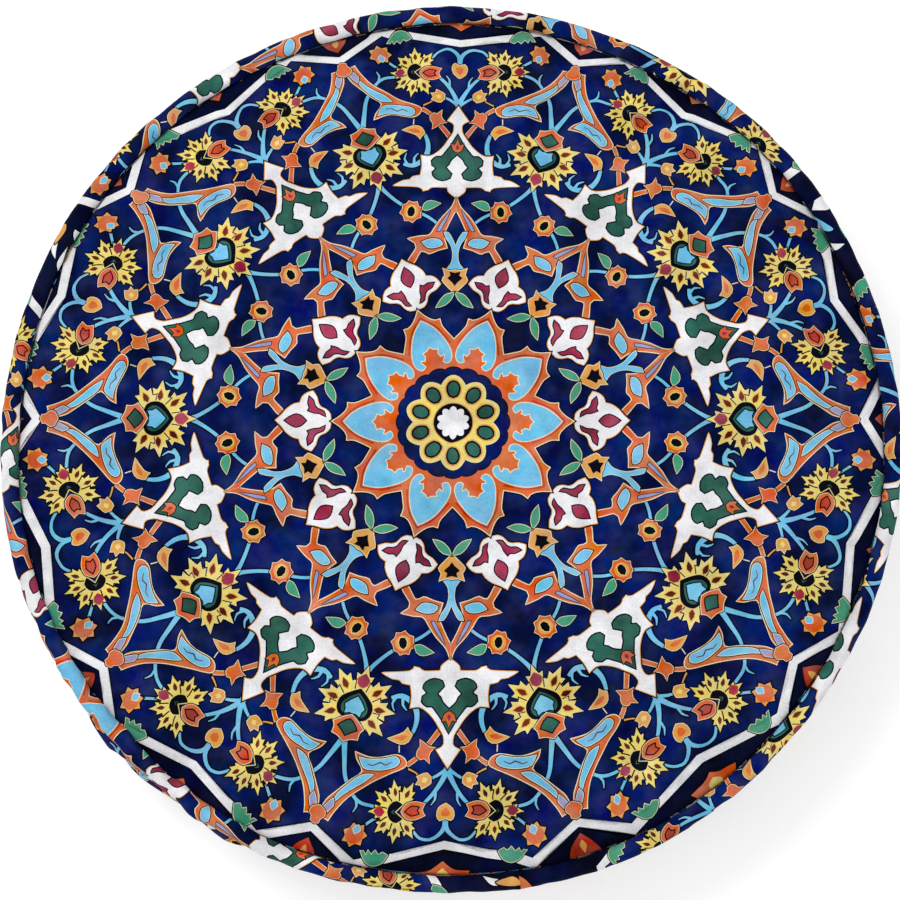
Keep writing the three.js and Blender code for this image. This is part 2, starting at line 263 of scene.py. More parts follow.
def draw_print():
    pr = Print()
    A, S = pr.area, pr.stroke
    ink, cream = (1.0, "ink"), (0.9, "cream")
    # stems under everything
    def stems():
        S("Q", "blue", [(8, 186), (17, 197), (28, 205), (42, 211)], [3.6, 3.2, 3.4], [ink], True)
        S("P", "blue", [(20.5, 226), (11, 238), (2.5, 252), (0, 262)], [3.6, 4.2, 5.2], [ink])
        S("Q", "blue", [(93.5, 288), (92.6, 306.5), (91, 322), (83.8, 337), (75, 345), (60, 350)], [6.4, 4.6, 3.6, 3.4, 3.0], [ink], True)
        S("Q", "blue", [(80.6, 341), (80, 347), (83, 352)], [3.0, 2.2, 0.8], [ink], True)
        S("Q", "blue", [(89, 327), (94, 331), (95, 337)], [2.6, 1.8, 0.8], [ink], True)
        S("Q", "blue", [(0, 312), (1.5, 321), (9, 334), (20, 346), (30, 352)], [6.6, 5.6, 4.2, 3.4, 3.0], [ink], True)
        S("Q", "blue", [(10, 336), (10, 343), (13.5, 348)], [3.2, 2.2, 0.8], [ink], True)
        S("Q", "blue", [(1.5, 318), (9, 322.5), (15, 325)], [4.0, 3.0, 2.4], [ink], True)
        S("Q", "amber", [(22, 325.5), (28, 320), (35, 316.5)], [1.8, 1.4, 1.8], [ink], True)
        S("Q", "blue", [(0, 360), (0.8, 368), (5.5, 374), (13, 377.5), (22, 375.5), (28, 369)], [6.0, 4.4, 3.2, 2.8, 2.6], [ink], True)
        S("Q", "blue", [(60, 357), (68, 362), (77, 368)], [2.2, 2.8, 3.2], [ink], True)
        S("Q", "blue", [(53, 257), (44, 255.5), (35.5, 260), (30, 268), (29.4, 278), (33, 288)], [3.4, 5, 5.8, 6, 5, 3.4], [ink], True)
        S("Q", "blue", [(42, 256), (42.5, 263), (38.5, 268)], [4.0, 2.6, 0.8], [ink], True)
        S("Q", "blue", [(49, 257), (52, 262), (50, 268)], [3.2, 2.2, 0.8], [ink], True)

    pr.together(stems)
    S("Q", "cream", [(44, 303), (44.3, 296), (43.5, 291)], [1.1, 1.1, 1.1], (), True)
    # outer border: white zigzag, with what lies outside it
    q, o, p = (0, 408.5), (86.4, 424.5), (407.5 * SIN18, 407.5 * COS18)
    half = 4.1

    def mitre(before, at, after):
        """How far a corner moves for each unit that the two lines through it are moved outwards."""
        n = []
        for a, b in ((before, at), (at, after)):
            l = math.hypot(b[0] - a[0], b[1] - a[1])
            n.append(((a[1] - b[1]) / l, (b[0] - a[0]) / l))
        m = (n[0][0] + n[1][0], n[0][1] + n[1][1])
        k = 2 / (m[0] ** 2 + m[1] ** 2)
        return m[0] * k, m[1] * k

    dot = o[0] * SIN18 + o[1] * COS18
    o_next = (2 * dot * SIN18 - o[0], 2 * dot * COS18 - o[1])
    mq, mo, mp = mitre((-o[0], o[1]), q, o), mitre(q, o, p), mitre(o, p, o_next)
    off = lambda c, m, d: (c[0] + m[0] * d, c[1] + m[1] * d)
    for d, colour in ((half + 1.2, "ink"), (half, "white")):
        for s in (1, -1):
            body = [off(q, mq, -d), off(o, mo, -d), off(p, mp, -d), off(p, mp, d), off(o, mo, d), off(q, mq, d)]
            if colour == "ink":
                beyond = [off(q, mq, d - 1), off(o, mo, d - 1), off(p, mp, d - 1), (p[0] * 1.4, p[1] * 1.4), (0, 571)]
                pr.put([(s * x, y) for x, y in beyond], "deep")
            pr.put([(s * x, y) for x, y in body], colour)
    A("P", "rust", [(0, 418, 1), (9, 427), (17, 440, 1), (9, 438), (5, 447), (0, 440)], [ink])
    A("P", "amber", [(0, 424, 1), (3.4, 430), (0, 437, 1)])
    A("P", "blue", [(0, 452, 1), (9, 457), (14, 470), (7, 482), (0, 476, 1)], [ink])
    A("P", "orange", [(0, 486, 1), (15, 494), (21, 510), (9, 524), (0, 530, 1)], [ink])
    A("P", "yellow", [(0, 495, 1), (8, 501), (10, 510), (4, 518), (0, 521, 1)])
    A("Q", "orange", [(0, 424, 1), (11, 431), (26, 432, 1), (19, 440), (8, 444), (0, 452, 1)], [ink])
    A("Q", "yellow", [(0, 430, 1), (7, 435), (6, 441), (0, 446, 1)])
    A("Q", "green", [(0, 458, 1), (17, 463), (34, 459, 1), (27, 472), (12, 478), (0, 474)], [ink])
    A("Q", "white", [(0, 484, 1), (21, 490), (31, 504, 1), (15, 510), (9, 526, 1), (0, 516)], [ink])
    A("Q", "crimson", [(0, 490, 1), (9, 495), (11, 501), (0, 507, 1)])
    for a, r in ((47, 458), (58, 492), (66, 466)):
        A("Q", "white", [(a - 6, r, 1), (a + 2, r + 10), (a + 12, r + 26, 1), (a + 8, r + 6)], [ink], sym=False)
    A("Q", "amber", [(72, 476), (80, 484), (86, 500, 1), (74, 494)], [ink], sym=False)
    A("Q", "blue", [(36, 476), (45, 486), (44, 506), (38, 520, 1), (37, 500)], [ink], sym=False)
    # outer arabesque, from the zigzag's P apex
    S("Q", "orange", [(36, 313), (27.5, 307.5), (18, 297), (6.5, 283)], [4, 3.6, 4.2, 5], [ink, (0.5, "cream")], True)
    A("Q", "orange", [(28, 306.4), (24.5, 309), (21, 308.2), (16.2, 312.4, 1), (17.2, 306.4), (15.6, 302.6), (11.4, 299.2, 1), (17, 298.6), (20, 296.4), (25.6, 292.6, 1), (25, 298.4), (27.4, 301.6)], [ink, (0.5, "cream")], sym=False, true=True)
    A("Q", "orange", [(121, 370, 1), (116, 361), (108.7, 357), (104, 359.5, 1), (99, 352), (89.8, 342), (79.4, 334.8), (66, 327.7), (52.8, 322), (42.3, 318), (36, 314), (37.5, 308), (45.5, 304), (62.7, 305.8), (73, 304.5), (84.5, 299.5, 1), (82.5, 308), (77.5, 317.5), (86.4, 323.6), (96.8, 331.2), (107.5, 340), (113, 349.5, 1)], [ink, cream], sym=False, true=True, thin=1.3)
    A("Q", "blue", [(66, 320.6, 1), (74, 326.2), (84, 331.6), (93, 337), (101, 343.6, 1), (97, 335.6), (88.6, 328.6), (80, 322.6), (74, 320.4)], [(1.0, "ink"), (0.6, "cream")], sym=False, true=True)
    A("Q", "lilac", [(100, 345.6, 1), (106.6, 352), (115.6, 358, 1), (112.2, 351), (106.6, 344.4), (100.6, 339.6)], [(0.9, "ink"), (0.5, "cream")], sym=False, true=True)
    S("Q", "orange", [(102, 345), (108, 350.4), (113, 355)], [0.6, 1.1, 0.6], (), True)
    A("Q", "blue", [(43.4, 310.4), (47, 314.6), (57, 316.8), (68, 316.4), (75.4, 314.6), (79.4, 306, 1), (71, 308), (57, 307.8), (47, 306.6)], [(1.0, "ink"), (0.6, "cream")], sym=False, true=True)
    S("Q", "seed", [(50, 310.6), (56, 313.2), (60.5, 310.8), (67, 313.2), (72, 312)], [0.7, 1.5, 0.7], (), True)
    A("P", "orange", [(0, 386, 1), (6.4, 389), (7.6, 394), (4.4, 398.4), (4.2, 402), (0, 404, 1)], [ink, (0.5, "cream")])
    # small palmettes either side of Q, and what hangs on them
    palmette(pr, "Q", (42.5, 352), -92, 0.71, [60, 99, 140, 180, 220, 261, 300], True)
    pr.at("Q", (42.5, 352), -92, [(4.5, -6.0, 1), (-1, -9.4), (-7, -6.5), (-9.4, 0), (-7, 6.5), (-1, 9.4), (4.5, 6.0, 1), (1, 3), (-2.6, 0, 1), (1, -3)], "ink", [(0.8, "yellow")], True)
    pr.at("Q", (42.5, 352), -92, [(-2.6, -2.6), (-6, 0), (-2.6, 2.6), (-4.2, 0)], "bottle", (), True)
    pr.at("Q", (42.5, 352), -92, [(3, 0, 1), (7, -6), (15, -7.6), (24, -5, 1), (21.5, 0), (24, 5, 1), (15, 7.6), (7, 6)], "orange", [ink, (0.5, "cream")], True)
    pr.at("Q", (42.5, 352), -92, [(7, 0, 1), (12, -3.6), (18, -2.6, 1), (16.4, 0), (18, 2.6, 1), (12, 3.6)], "rust", [(0.8, "ink")], True)
    pr.at("Q", (20, 326), 66, [(-6, 0), (-4.2, -4.4), (0.6, -5.4), (5, -5.6, 1), (4.6, -2.2), (8.2, 0, 1), (4.6, 2.2), (5, 5.6, 1), (0.6, 5.4), (-4.2, 4.4)], "amber", [ink, (0.6, "cream")], True)
    pr.at("Q", (20, 326), 66, [(-3.2, 0), (0, -2.6), (3, 0, 1), (0, 2.6)], "yellow", (), True)
    A("Q", "amber", [(0, 346.5, 1), (6, 350.5), (7.6, 357), (5, 361.5), (0, 360, 1)], [ink, (0.6, "cream")], true=True)
    A("Q", "orange", [(0, 350, 1), (3.4, 353), (4, 357), (0, 358.5, 1)], true=True)
    star = []
    for i in range(14):
        rr = 11.4 if i % 2 == 0 else 8.2
        star.append((rr * math.cos(i * math.pi / 7), rr * math.sin(i * math.pi / 7), 1))
    pr.at("Q", (80.5, 372.5), 20, star, "amber", [ink], True)
    pr.at("Q", (80.5, 372.5), 20, [(0.72 * a, 0.72 * b) for a, b, _ in star[::2]], "orange", (), True)
    pr.at("Q", (80.5, 372.5), 200, [(1, 0, 1), (5, -3.4), (9, 0, 1), (5, 3.4)], "blue", [(0.7, "cream")], True)
    leaf = [(49.5, 389, 1), (54, 395.5), (62, 397.8), (69, 395), (74.5, 386.5, 1), (71.5, 386.6), (69.4, 389.6, 1), (67.4, 385.6), (64, 388.8, 1), (60.6, 384.8), (57.6, 388.4, 1), (54, 386.2)]
    A("Q", "green", leaf, [ink, (0.5, "cream")], sym=False, true=True)
    # large palmettes on P
    palmette(pr, "P", (0, 290), 0, 1.0, [62, 97, 137, 180, 223, 263, 298], False)
    A("P", "ink", [(0, 273, 1), (8.5, 278.5), (15.8, 285), (17.4, 292.5), (14.4, 299.4), (7, 302.5), (0, 302.8)], [(0.9, "yellow")])
    A("P", "bottle", [(0, 277.6, 1), (7, 282.6), (12.8, 290.4), (11.4, 297), (6, 300), (0, 300)])
    A("P", "blue", [(0, 281, 1), (5.2, 285.4), (9.8, 290.6, 1), (7.8, 294), (7.6, 298.4, 1), (3.2, 296.6), (0, 297)], [(0.7, "ink")])
    A("P", "orange", [(0, 298.6, 1), (7.5, 302.6), (14.8, 308.4, 1), (12.4, 312.6), (12.6, 318.4, 1), (6.4, 319.6), (0, 323.4, 1)], [ink, (0.7, "cream")])
    A("P", "bottle", [(0, 303, 1), (4.4, 305.6), (8.8, 310.6, 1), (4.6, 313.6), (0, 317.4, 1)], [(0.8, "ink")])
    pr.at("Q", (43, 290), 95, [(-10, 3, 1), (-7, -3.5), (0, -6), (12, -2, 1), (4, 1), (-2, 4), (-5, 8, 1), (-7, 5)], "amber", [ink, (0.5, "cream")], True)
    pr.at("Q", (43, 290), 95, [(-6, 1), (-1, -3), (7, -1.6, 1), (0, 1.6)], "orange", (), True)
    # white cartouches on Q
    wing = [(0, 224.2, 1), (4.6, 227.2), (8.2, 230.6), (9.0, 234.6, 1), (24, 234.6), (28.5, 231.8), (33, 230.8), (37, 234.4), (62.5, 235.4, 1), (53, 240.4), (46.5, 241.4), (43.5, 244.4), (36, 246, 1), (34.6, 256), (35.6, 265.6, 1), (27.5, 265), (20.5, 268.8), (13.6, 275.4), (8.2, 283.4), (4.4, 289.5), (3.8, 296.6), (5.4, 299), (10.4, 301.2, 1), (6.4, 307), (0, 316.4, 1)]
    A("Q", "white", wing, [(1.5, "ink"), (0.8, "amber")], true=True)
    A("Q", "bottle", [(0, 287.0, 1), (3.6, 280.6), (7.4, 274.4), (11.4, 269.4), (15.6, 264.6), (20.4, 264.6), (25, 260.6), (24.4, 256.4), (20.2, 253.4), (24, 249), (21.6, 244.2), (14.6, 241.6), (7.2, 243.6), (5.6, 247.6), (8.4, 250.6), (11.6, 254), (8.4, 257.6), (6.2, 262), (0, 267.6, 1)], [(0.9, "ink")], true=True)
    A("Q", "orange", [(0, 269.0, 1), (4.4, 271.6), (6.2, 277.6, 1), (2.8, 276.8), (0, 283, 1)], [(0.4, "ink")], true=True)
    A("Q", "crimson", [(0, 271.4, 1), (1.8, 273.8), (0, 277.4, 1)], true=True)
    # inner arabesque
    A("Q", "orange", [(0, 225.5, 1), (4.2, 215), (13.6, 204.7), (20, 195.6), (25.8, 187), (35, 185.6), (47, 183, 1), (39.6, 178.4), (38.6, 173.8), (46.4, 160.6), (41.4, 158.4), (33.6, 171), (26, 168.6), (17, 172), (8.4, 174.4, 1), (11.4, 186.5), (8.6, 195.2), (3.4, 206), (0, 212, 1)][:19], [ink, cream], sym=False, true=True, thin=0.1)
    A("Q", "lilac", [(4.6, 213.4, 1), (9.6, 206.0), (14.4, 199.2), (18.6, 191.0, 1), (15.8, 190.6), (12.6, 196.2), (8.8, 203.6)], [(0.2, "ink")], sym=False, true=True)
    A("Q", "blue", [(12.8, 177.6), (16.4, 182.4), (25, 183), (33, 180, 1), (28, 174.8), (20, 174.6)], [(1.0, "ink"), (0.5, "cream")], sym=False, true=True)
    # buds between the inner arabesques
    tilt = -8
    pr.at("P", (23.6, 221), 96 + tilt, [(-6, -4, 1), (-22, -8.5, 1), (-13, -11.5), (-4, -9)][::-1], "green", [ink], False) if False else None
    pr.at("P", (23.6, 221), 0, [(11.4, 1, 1), (8.4, 5.2), (8.2, 8.8, 1), (3, 8.8), (0, 11.6, 1), (-4.4, 8.6), (-8.8, 7.6, 1), (-9.0, 2.6), (-11.6, -2, 1), (-8.4, -5.0), (-7.2, -9.2, 1), (-1.6, -9.0), (2, -11.4, 1), (5.2, -7.8), (9.0, -6.0, 1), (9.2, -2)], "orange", [ink, (0.5, "cream")], False)
    pr.at("P", (23.6, 221), 0, [(7.6, 0), (5.4, 5.4), (0, 7.6), (-5.4, 5.4), (-7.6, 0), (-5.4, -5.4), (0, -7.6), (5.4, -5.4)], "amber", (), False)
    pr.at("P", (23.6, 221), 24, [(6, 0, 1), (3.2, 3.2), (-1, 4), (-4.8, 2.4), (-5, -2.4), (-1, -4), (3.2, -3.2)], "ink", [(0.8, "yellow")], False)
    pr.at("P", (36, 220), 78, [(-1, 0, 1), (4, -4.6), (11, -4), (18.5, 3.4, 1), (9.5, 4), (3, 3.2)], "green", [ink, (0.5, "cream")], False)
    # blue stems and black buds on Q
    A("Q", "blue", [(0, 151), (9.5, 152, 1), (5.6, 156.5), (3.2, 161), (2.6, 169), (4.6, 177), (9.4, 184.4), (11.4, 190, 1), (7.4, 189.6), (3.6, 184), (0, 176, 1)], [ink, (0.5, "cream")], true=True)
    A("Q", "amber", [(0, 129.5, 1), (4, 133), (12.4, 142), (9.8, 147), (12, 154, 1), (6, 151.8), (0, 152.4)], [ink, (0.7, "cream")], true=True)
    A("Q", "ink", [(0, 136.4, 1), (3, 140.4), (7.6, 144.6), (4.4, 147), (5.6, 151, 1), (0, 149.6)], true=True)
    A("Q", "green", [(0.6, 130, 1), (8, 128.4), (13.4, 123.4), (18.4, 115, 1), (10, 117.4), (3.4, 123.4)], [ink, (0.6, "cream")], sym=False, true=True)
    # white tulips on P
    A("P", "white", [(0, 121.2), (7, 121.8), (11.6, 126), (14, 131), (18.4, 134), (24, 135.4), (30, 139.4, 1), (28, 145), (24, 149.6), (18, 151.6, 1), (16.6, 157.5), (12, 164), (5.4, 169.4), (0, 175, 1)], [(1.7, "ink"), (0.8, "amber")])
    A("P", "crimson", [(4.6, 126.4, 1), (9.6, 128.4), (12, 134), (15.6, 137.4), (20.6, 138.8), (24, 142.6, 1), (18, 143.6), (13, 142), (10.4, 143.4, 1), (8.4, 138), (7.8, 132)], [(0.7, "ink")], sym=False)
    A("P", "crimson", [(0, 145.4, 1), (4.2, 149.5), (6.2, 155), (3.8, 161), (0, 166, 1)], [(0.7, "ink")])
    # the star of ten petals
    half = [(0, 119.5, 1), (5, 112), (10.5, 106.5), (14.5, 104.5), (18.6, 104.6, 1), (18.4, 98), (20.8, 91.5), (84.5 * SIN18, 84.5 * COS18, 1)]
    A("P", "orange", [(0, 54, 1), (54 * SIN18, 54 * COS18), *half[::-1]], [(1.7, "ink"), (0.9, "cream")])
    A("P", "rust", [(0, 112.6, 1), (8.6, 104.5), (15, 96.5), (19.4, 86.5), (22.6, 78, 1), (21, 78), (17.8, 86), (13.4, 95.4), (7.6, 102.8), (0, 110, 1)][::-1])
    A("P", "blue", [(0, 81, 1), (3.4, 77.6), (8.6, 76.2, 1), (7, 72), (8.6, 68.2), (12.2, 69.6), (12.6, 66.6), (9.6, 62.2), (14, 59.8), (18.4, 64), (19.6, 71.5), (17.8, 80.5), (13.6, 91.6), (7.8, 100.6), (0, 108, 1)], [(0.9, "cream")])
    # the heart of the medallion
    ring = lambda f: [(f(t) * math.sin(math.radians(t)), f(t) * math.cos(math.radians(t))) for t in range(-18, 19, 2)]
    wedge = lambda f: ring(f) + [(0, 0)]
    lobes = lambda r, d, n=10: (lambda t: r - d * (1 - abs(math.cos(math.radians(t * n / 2)))) )
    scallop = lambda r: (lambda t: r + 2.6 * abs(math.cos(math.radians(t * 10))) ** 0.7)
    fine = lambda f: [(f(t * 0.75) * math.sin(math.radians(t * 0.75)), f(t * 0.75) * math.cos(math.radians(t * 0.75))) for t in range(-24, 25)] + [(0, 0)]
    pr.put(fine(scallop(54.4)), "ink")
    pr.put(fine(scallop(53.4)), "navy")
    pr.put(wedge(lobes(49.0, 8.5)), "ink")
    pr.put(wedge(lobes(48.2, 8.5)), "cream")
    pr.put(wedge(lobes(47.4, 8.5)), "yellow")
    A("Q", "amber", [(0, 23.2), (5.4, 25), (8.2, 31), (8.2, 37.5), (4.6, 42.8), (0, 44.4)])
    A("Q", "ink", [(0, 24.4), (4.4, 26), (7, 31.6), (7, 37), (3.8, 41.8), (0, 43)])
    A("Q", "bottle", [(0, 26.4), (3.2, 27.6), (5.4, 32.4), (5.4, 36.6), (2.8, 40.2), (0, 41.2)])
    pr.put(wedge(lambda t: 20.2), "amber")
    pr.put(wedge(lambda t: 19.2), "ink")
    pr.put(wedge(lobes(16.2, 3.6)), "white")
    return pr.shapes


def sector_faces(shapes, r_max, spacing):
    """The drawing between a Q axis and the next P axis, cut into triangles that each have one colour."""
    reach = math.pi / 10
    wedge = [(0.0, 0.0)] + [(r_max * math.sin(t), r_max * math.cos(t)) for t in np.linspace(0, reach, 9)]
    verts, faces, paint = [], [], []

    def take(poly, colour):
        area = sum(poly[i - 1][0] * poly[i][1] - poly[i][0] * poly[i - 1][1] for i in range(len(poly)))
        if area < 0:
            poly = poly[::-1]
        base = len(verts)
        verts.extend(Vector((float(x), float(y))) for x, y in poly)
        faces.append(list(range(base, base + len(poly))))
        paint.append(colour)

    take(wedge, "navy")
    for poly, colour in shapes:
        angles = [math.atan2(x, y) for x, y in poly]
        if max(angles) < -0.002 or min(angles) > reach + 0.002:
            continue
        clean = [poly[0]]
        for p in poly[1:]:
            if math.hypot(p[0] - clean[-1][0], p[1] - clean[-1][1]) > 0.05:
                clean.append(p)
        if math.hypot(clean[0][0] - clean[-1][0], clean[0][1] - clean[-1][1]) <= 0.05:
            clean.pop()
        if len(clean) > 2:
            take(clean, colour)
    # points spread over the plain ground, so that it bends with the cushion
    r = spacing
    while r < r_max - spacing * 0.4:
        n = max(1, int(round(r * reach / spacing)))
        for i in range(n + 1):
            t = reach * i / n
            verts.append(Vector((r * math.sin(t), r * math.cos(t))))
        r += spacing * 0.9
    v, _, f, _, _, ids = geometry.delaunay_2d_cdt(verts, [], faces, 1, 1e-4, True)
    v = np.array([(p.x, p.y) for p in v])
    tri, col = [], []
    for face, owners in zip(f, ids):
        if owners and 0 in owners:
            tri.append(face)
            col.append(paint[max(owners)])
    return v, tri, col


def whole_print(shapes, r_max, spacing):
    """Ten turns of the half sector and its mirror image, welded."""
    v, tri, col = sector_faces(shapes, r_max, spacing)
    used = sorted({i for f in tri for i in f})
    remap = {i: k for k, i in enumerate(used)}
    v = v[used]
    tri = [[remap[i] for i in f] for f in tri]
    vs, fs, cs = [], [], []
    for k in range(10):
        a = math.pi / 5 * k
        c, s = math.cos(a), math.sin(a)
        for m in (1, -1):
            x, y = v[:, 0] * m, v[:, 1]
            base = len(vs) * len(v)
            vs.append(np.stack([x * c + y * s, -x * s + y * c], 1))
            fs.extend([[i + base for i in (f if m == 1 else f[::-1])] for f in tri])
            cs.extend(col)
    vs = np.concatenate(vs)
    key = np.round(vs / 0.004).astype(np.int64)
    _, first, inverse = np.unique(key[:, 0] * 10000019 + key[:, 1], return_index=True, return_inverse=True)
    inverse = inverse.reshape(-1)
    faces, colours = [], []
    for f, c in zip(fs, cs):
        g = [int(inverse[i]) for i in f]
        if len(set(g)) == len(g):
            faces.append(g)
            colours.append(c)
    return vs[first], faces, colours


# ------------------------------------------------------------------ the stuffed cover, simulated
N_AROUND = 176
TOP_RINGS = 46
SIDE_RINGS = 16
LOW_RINGS = 34


def profile_top(r):
    """Height of the seat at a distance from the middle, before the cloth is simulated."""
    t = np.clip(r / R_SEAM, 0, 1)
    return Z_TOP + 0.0016 + (CROWN - 0.0025 - Z_TOP - 0.0016) * (1 - t**3.1) ** 0.80


def profile_low(r):
    t = np.clip((r - 0.236) / (R_SEAM - 0.236), 0, 1)
    return 0.0004 + (Z_LOW - 0.0022) * t**2.3


def ring_radii(n, power=0.8):
    return R_SEAM * (np.arange(1, n + 1) / n) ** power


def value_noise(seed, n):
    """A smooth periodic function of angle that runs from about -1 to 1."""
    g = np.random.default_rng(seed)
    amp = g.normal(0, 1, n)
    ph = g.uniform(0, 2 * math.pi, n)

    def f(a, low=1):
        out = np.zeros_like(np.asarray(a, float))
        norm = 0
        for k in range(n):
            w = 1 / (1 + 0.12 * k)
            out = out + amp[k] * w * np.sin((k + low) * a + ph[k])
            norm += w * w
        return out / math.sqrt(norm)

    return f


SEAM_WAVE = value_noise(3, 9)
SEAM_LIFT = value_noise(5, 7)


def build_cover():
    """The cover as one closed net: seat, side and base rings. Returns its points at rest and after the simulation."""
    th = np.arange(N_AROUND) * 2 * math.pi / N_AROUND
    rings = []
    top_r = ring_radii(TOP_RINGS)
    low_r = ring_radii(LOW_RINGS)
    for r in top_r:
        rings.append((r, profile_top(r)))
    side = []
    for i in range(1, SIDE_RINGS):
        t = i / SIDE_RINGS
        z = (Z_TOP - 0.003) + (Z_LOW - Z_TOP + 0.006) * t
        bulge = math.sin(math.pi * t) ** 0.55
        side.append((R_SEAM + 0.0035 + (R_BAND - R_SEAM - 0.0035) * bulge, z))
    rings += side
    for r in low_r[::-1]:
        rings.append((r, profile_low(r)))
    pts = [(0.0, 0.0, CROWN - 0.0025)]
    for r, z in rings:
        pts += [(r * math.cos(a), r * math.sin(a), float(z)) for a in th]
    pts.append((0.0, 0.0, 0.0004))
    rest = np.array(pts)
    n_rings = len(rings)
    faces = []
    ring = lambda i, j: 1 + i * N_AROUND + j % N_AROUND
    for j in range(N_AROUND):
        faces.append((0, ring(0, j), ring(0, j + 1)))
        faces.append((len(rest) - 1, ring(n_rings - 1, j + 1), ring(n_rings - 1, j)))
    for i in range(n_rings - 1):
        for j in range(N_AROUND):
            faces.append((ring(i, j), ring(i + 1, j), ring(i + 1, j + 1), ring(i, j + 1)))
    moved = rest.copy()
    me = bpy.data.meshes.new("sim")
    me.from_pydata([tuple(p) for p in rest], [], faces)
    me.update()
    ob = bpy.data.objects.new("sim", me)
    bpy.context.scene.collection.objects.link(ob)
    seam_top = TOP_RINGS - 1
    seam_low = TOP_RINGS + SIDE_RINGS - 1
    pin = ob.vertex_groups.new(name="pin")
    for i in (seam_top, seam_low):
        pin.add([ring(i, j) for j in range(N_AROUND)], 1.0, "REPLACE")
    for i in range(seam_low + 1, n_rings):
        r = rings[i][0]
        w = 1.0 if r < 0.24 else 0.0
        if w:
            pin.add([ring(i, j) for j in range(N_AROUND)], w, "REPLACE")
    pin.add([len(rest) - 1], 1.0, "REPLACE")
    # a little unevenness, so that the cloth doesn't buckle in a regular way
    for i in range(1, seam_top):
        for j in range(N_AROUND):
            me.vertices[ring(i, j)].co.z += float(rng.normal(0, 0.00018))
    mod = ob.modifiers.new("cloth", "CLOTH")
    s = mod.settings
    s.quality = 7
    s.mass = 0.3
    s.air_damping = 2.0
    s.tension_stiffness = s.compression_stiffness = 18
    s.shear_stiffness = 6
    s.bending_stiffness = 0.35
    s.tension_damping = s.compression_damping = 8
    s.use_pressure = True
    s.uniform_pressure_force = 4.0
    s.shrink_min = -0.022
    s.vertex_group_mass = "pin"
    s.pin_stiffness = 1.0
    s.effector_weights.gravity = 0
    mod.collision_settings.use_collision = False
    mod.collision_settings.use_self_collision = False
    mod.point_cache.frame_start = 1
    mod.point_cache.frame_end = 20
    scene = bpy.context.scene
    for f in range(1, 21):
        scene.frame_set(f)
    dg = bpy.context.evaluated_depsgraph_get()
    ev = ob.evaluated_get(dg)
    co = np.zeros(len(rest) * 3)
    ev.data.vertices.foreach_get("co", co)
    moved = co.reshape(-1, 3)
    bpy.data.objects.remove(ob)
    bpy.data.meshes.remove(me)
    scene.frame_set(1)
    d = moved - rest
    size = np.linalg.norm(d, axis=1, keepdims=True)
    print("cloth moved at most", round(float(size.max()) * 1000, 1), "mm, mean", round(float(size.mean()) * 1000, 2))
    cap = 0.011
    d = d * (cap * np.tanh(size / cap) / np.maximum(size, 1e-9))
    net = rest + d
    grid = net[1:-1].reshape(n_rings, N_AROUND, 3)
    rest_grid = rest[1:-1].reshape(n_rings, N_AROUND, 3)
    top = np.concatenate([np.repeat(net[:1][None], N_AROUND, 1), grid[:TOP_RINGS]])
    side = grid[TOP_RINGS - 1 : TOP_RINGS + SIDE_RINGS]
    side_rest = rest_grid[TOP_RINGS - 1 : TOP_RINGS + SIDE_RINGS]
    low = np.concatenate([np.repeat(net[-1:][None], N_AROUND, 1), grid[TOP_RINGS + SIDE_RINGS - 1 :][::-1]])
    return top, side, side_rest, low, np.concatenate([[0], top_r]), np.concatenate([[0], low_r])


TOP, SIDE, SIDE_REST, LOW, TOP_R, LOW_R = build_cover()
# the cloth's deepest creases lie a little under the seam's own level


def on_grid(grid, row, angle):
    """Smooth lookup: row is a fractional ring, angle in radians."""
    n = grid.shape[0]
    row = np.clip(np.asarray(row, float), 0, n - 1 - 1e-9)
    col = np.mod(np.asarray(angle, float), 2 * math.pi) / (2 * math.pi) * N_AROUND
    i = row.astype(int)
    j = col.astype(int) % N_AROUND
    u, v = row - i, col - np.floor(col)

    def cubic(t):
        return (
            -0.5 * t + t * t - 0.5 * t**3,
            1 - 2.5 * t * t + 1.5 * t**3,
            0.5 * t + 2 * t * t - 1.5 * t**3,
            -0.5 * t * t + 0.5 * t**3,
        )

    wu, wv = cubic(u), cubic(v)
    out = np.zeros(row.shape + (3,))
    for a in range(4):
        ia = np.clip(i + a - 1, 0, n - 1)
        for b in range(4):
            jb = (j + b - 1) % N_AROUND
            out += (wu[a] * wv[b])[..., None] * grid[ia, jb]
    return out


PUCKER = value_noise(21, 120)
PUCKER_2 = value_noise(22, 150)
PUCKER_AMP = value_noise(23, 8)
DENT = value_noise(31, 16)


def seam_offset(angle):
    """How the seam line itself wanders: in and out, up and down. Pipings and panels share it."""
    oval = 0.0036 * np.cos(angle) ** 2 - 0.0022 * np.sin(angle) ** 2
    return 0.0009 * SEAM_WAVE(angle) + oval, 0.0010 * SEAM_LIFT(angle)


def around(angle, centre, width):
    """A soft bump of height 1 about an angle, all in degrees but the first."""
    d = np.mod(np.asarray(angle) - math.radians(centre) + math.pi, 2 * math.pi) - math.pi
    return np.exp(-((d / math.radians(width)) ** 2))


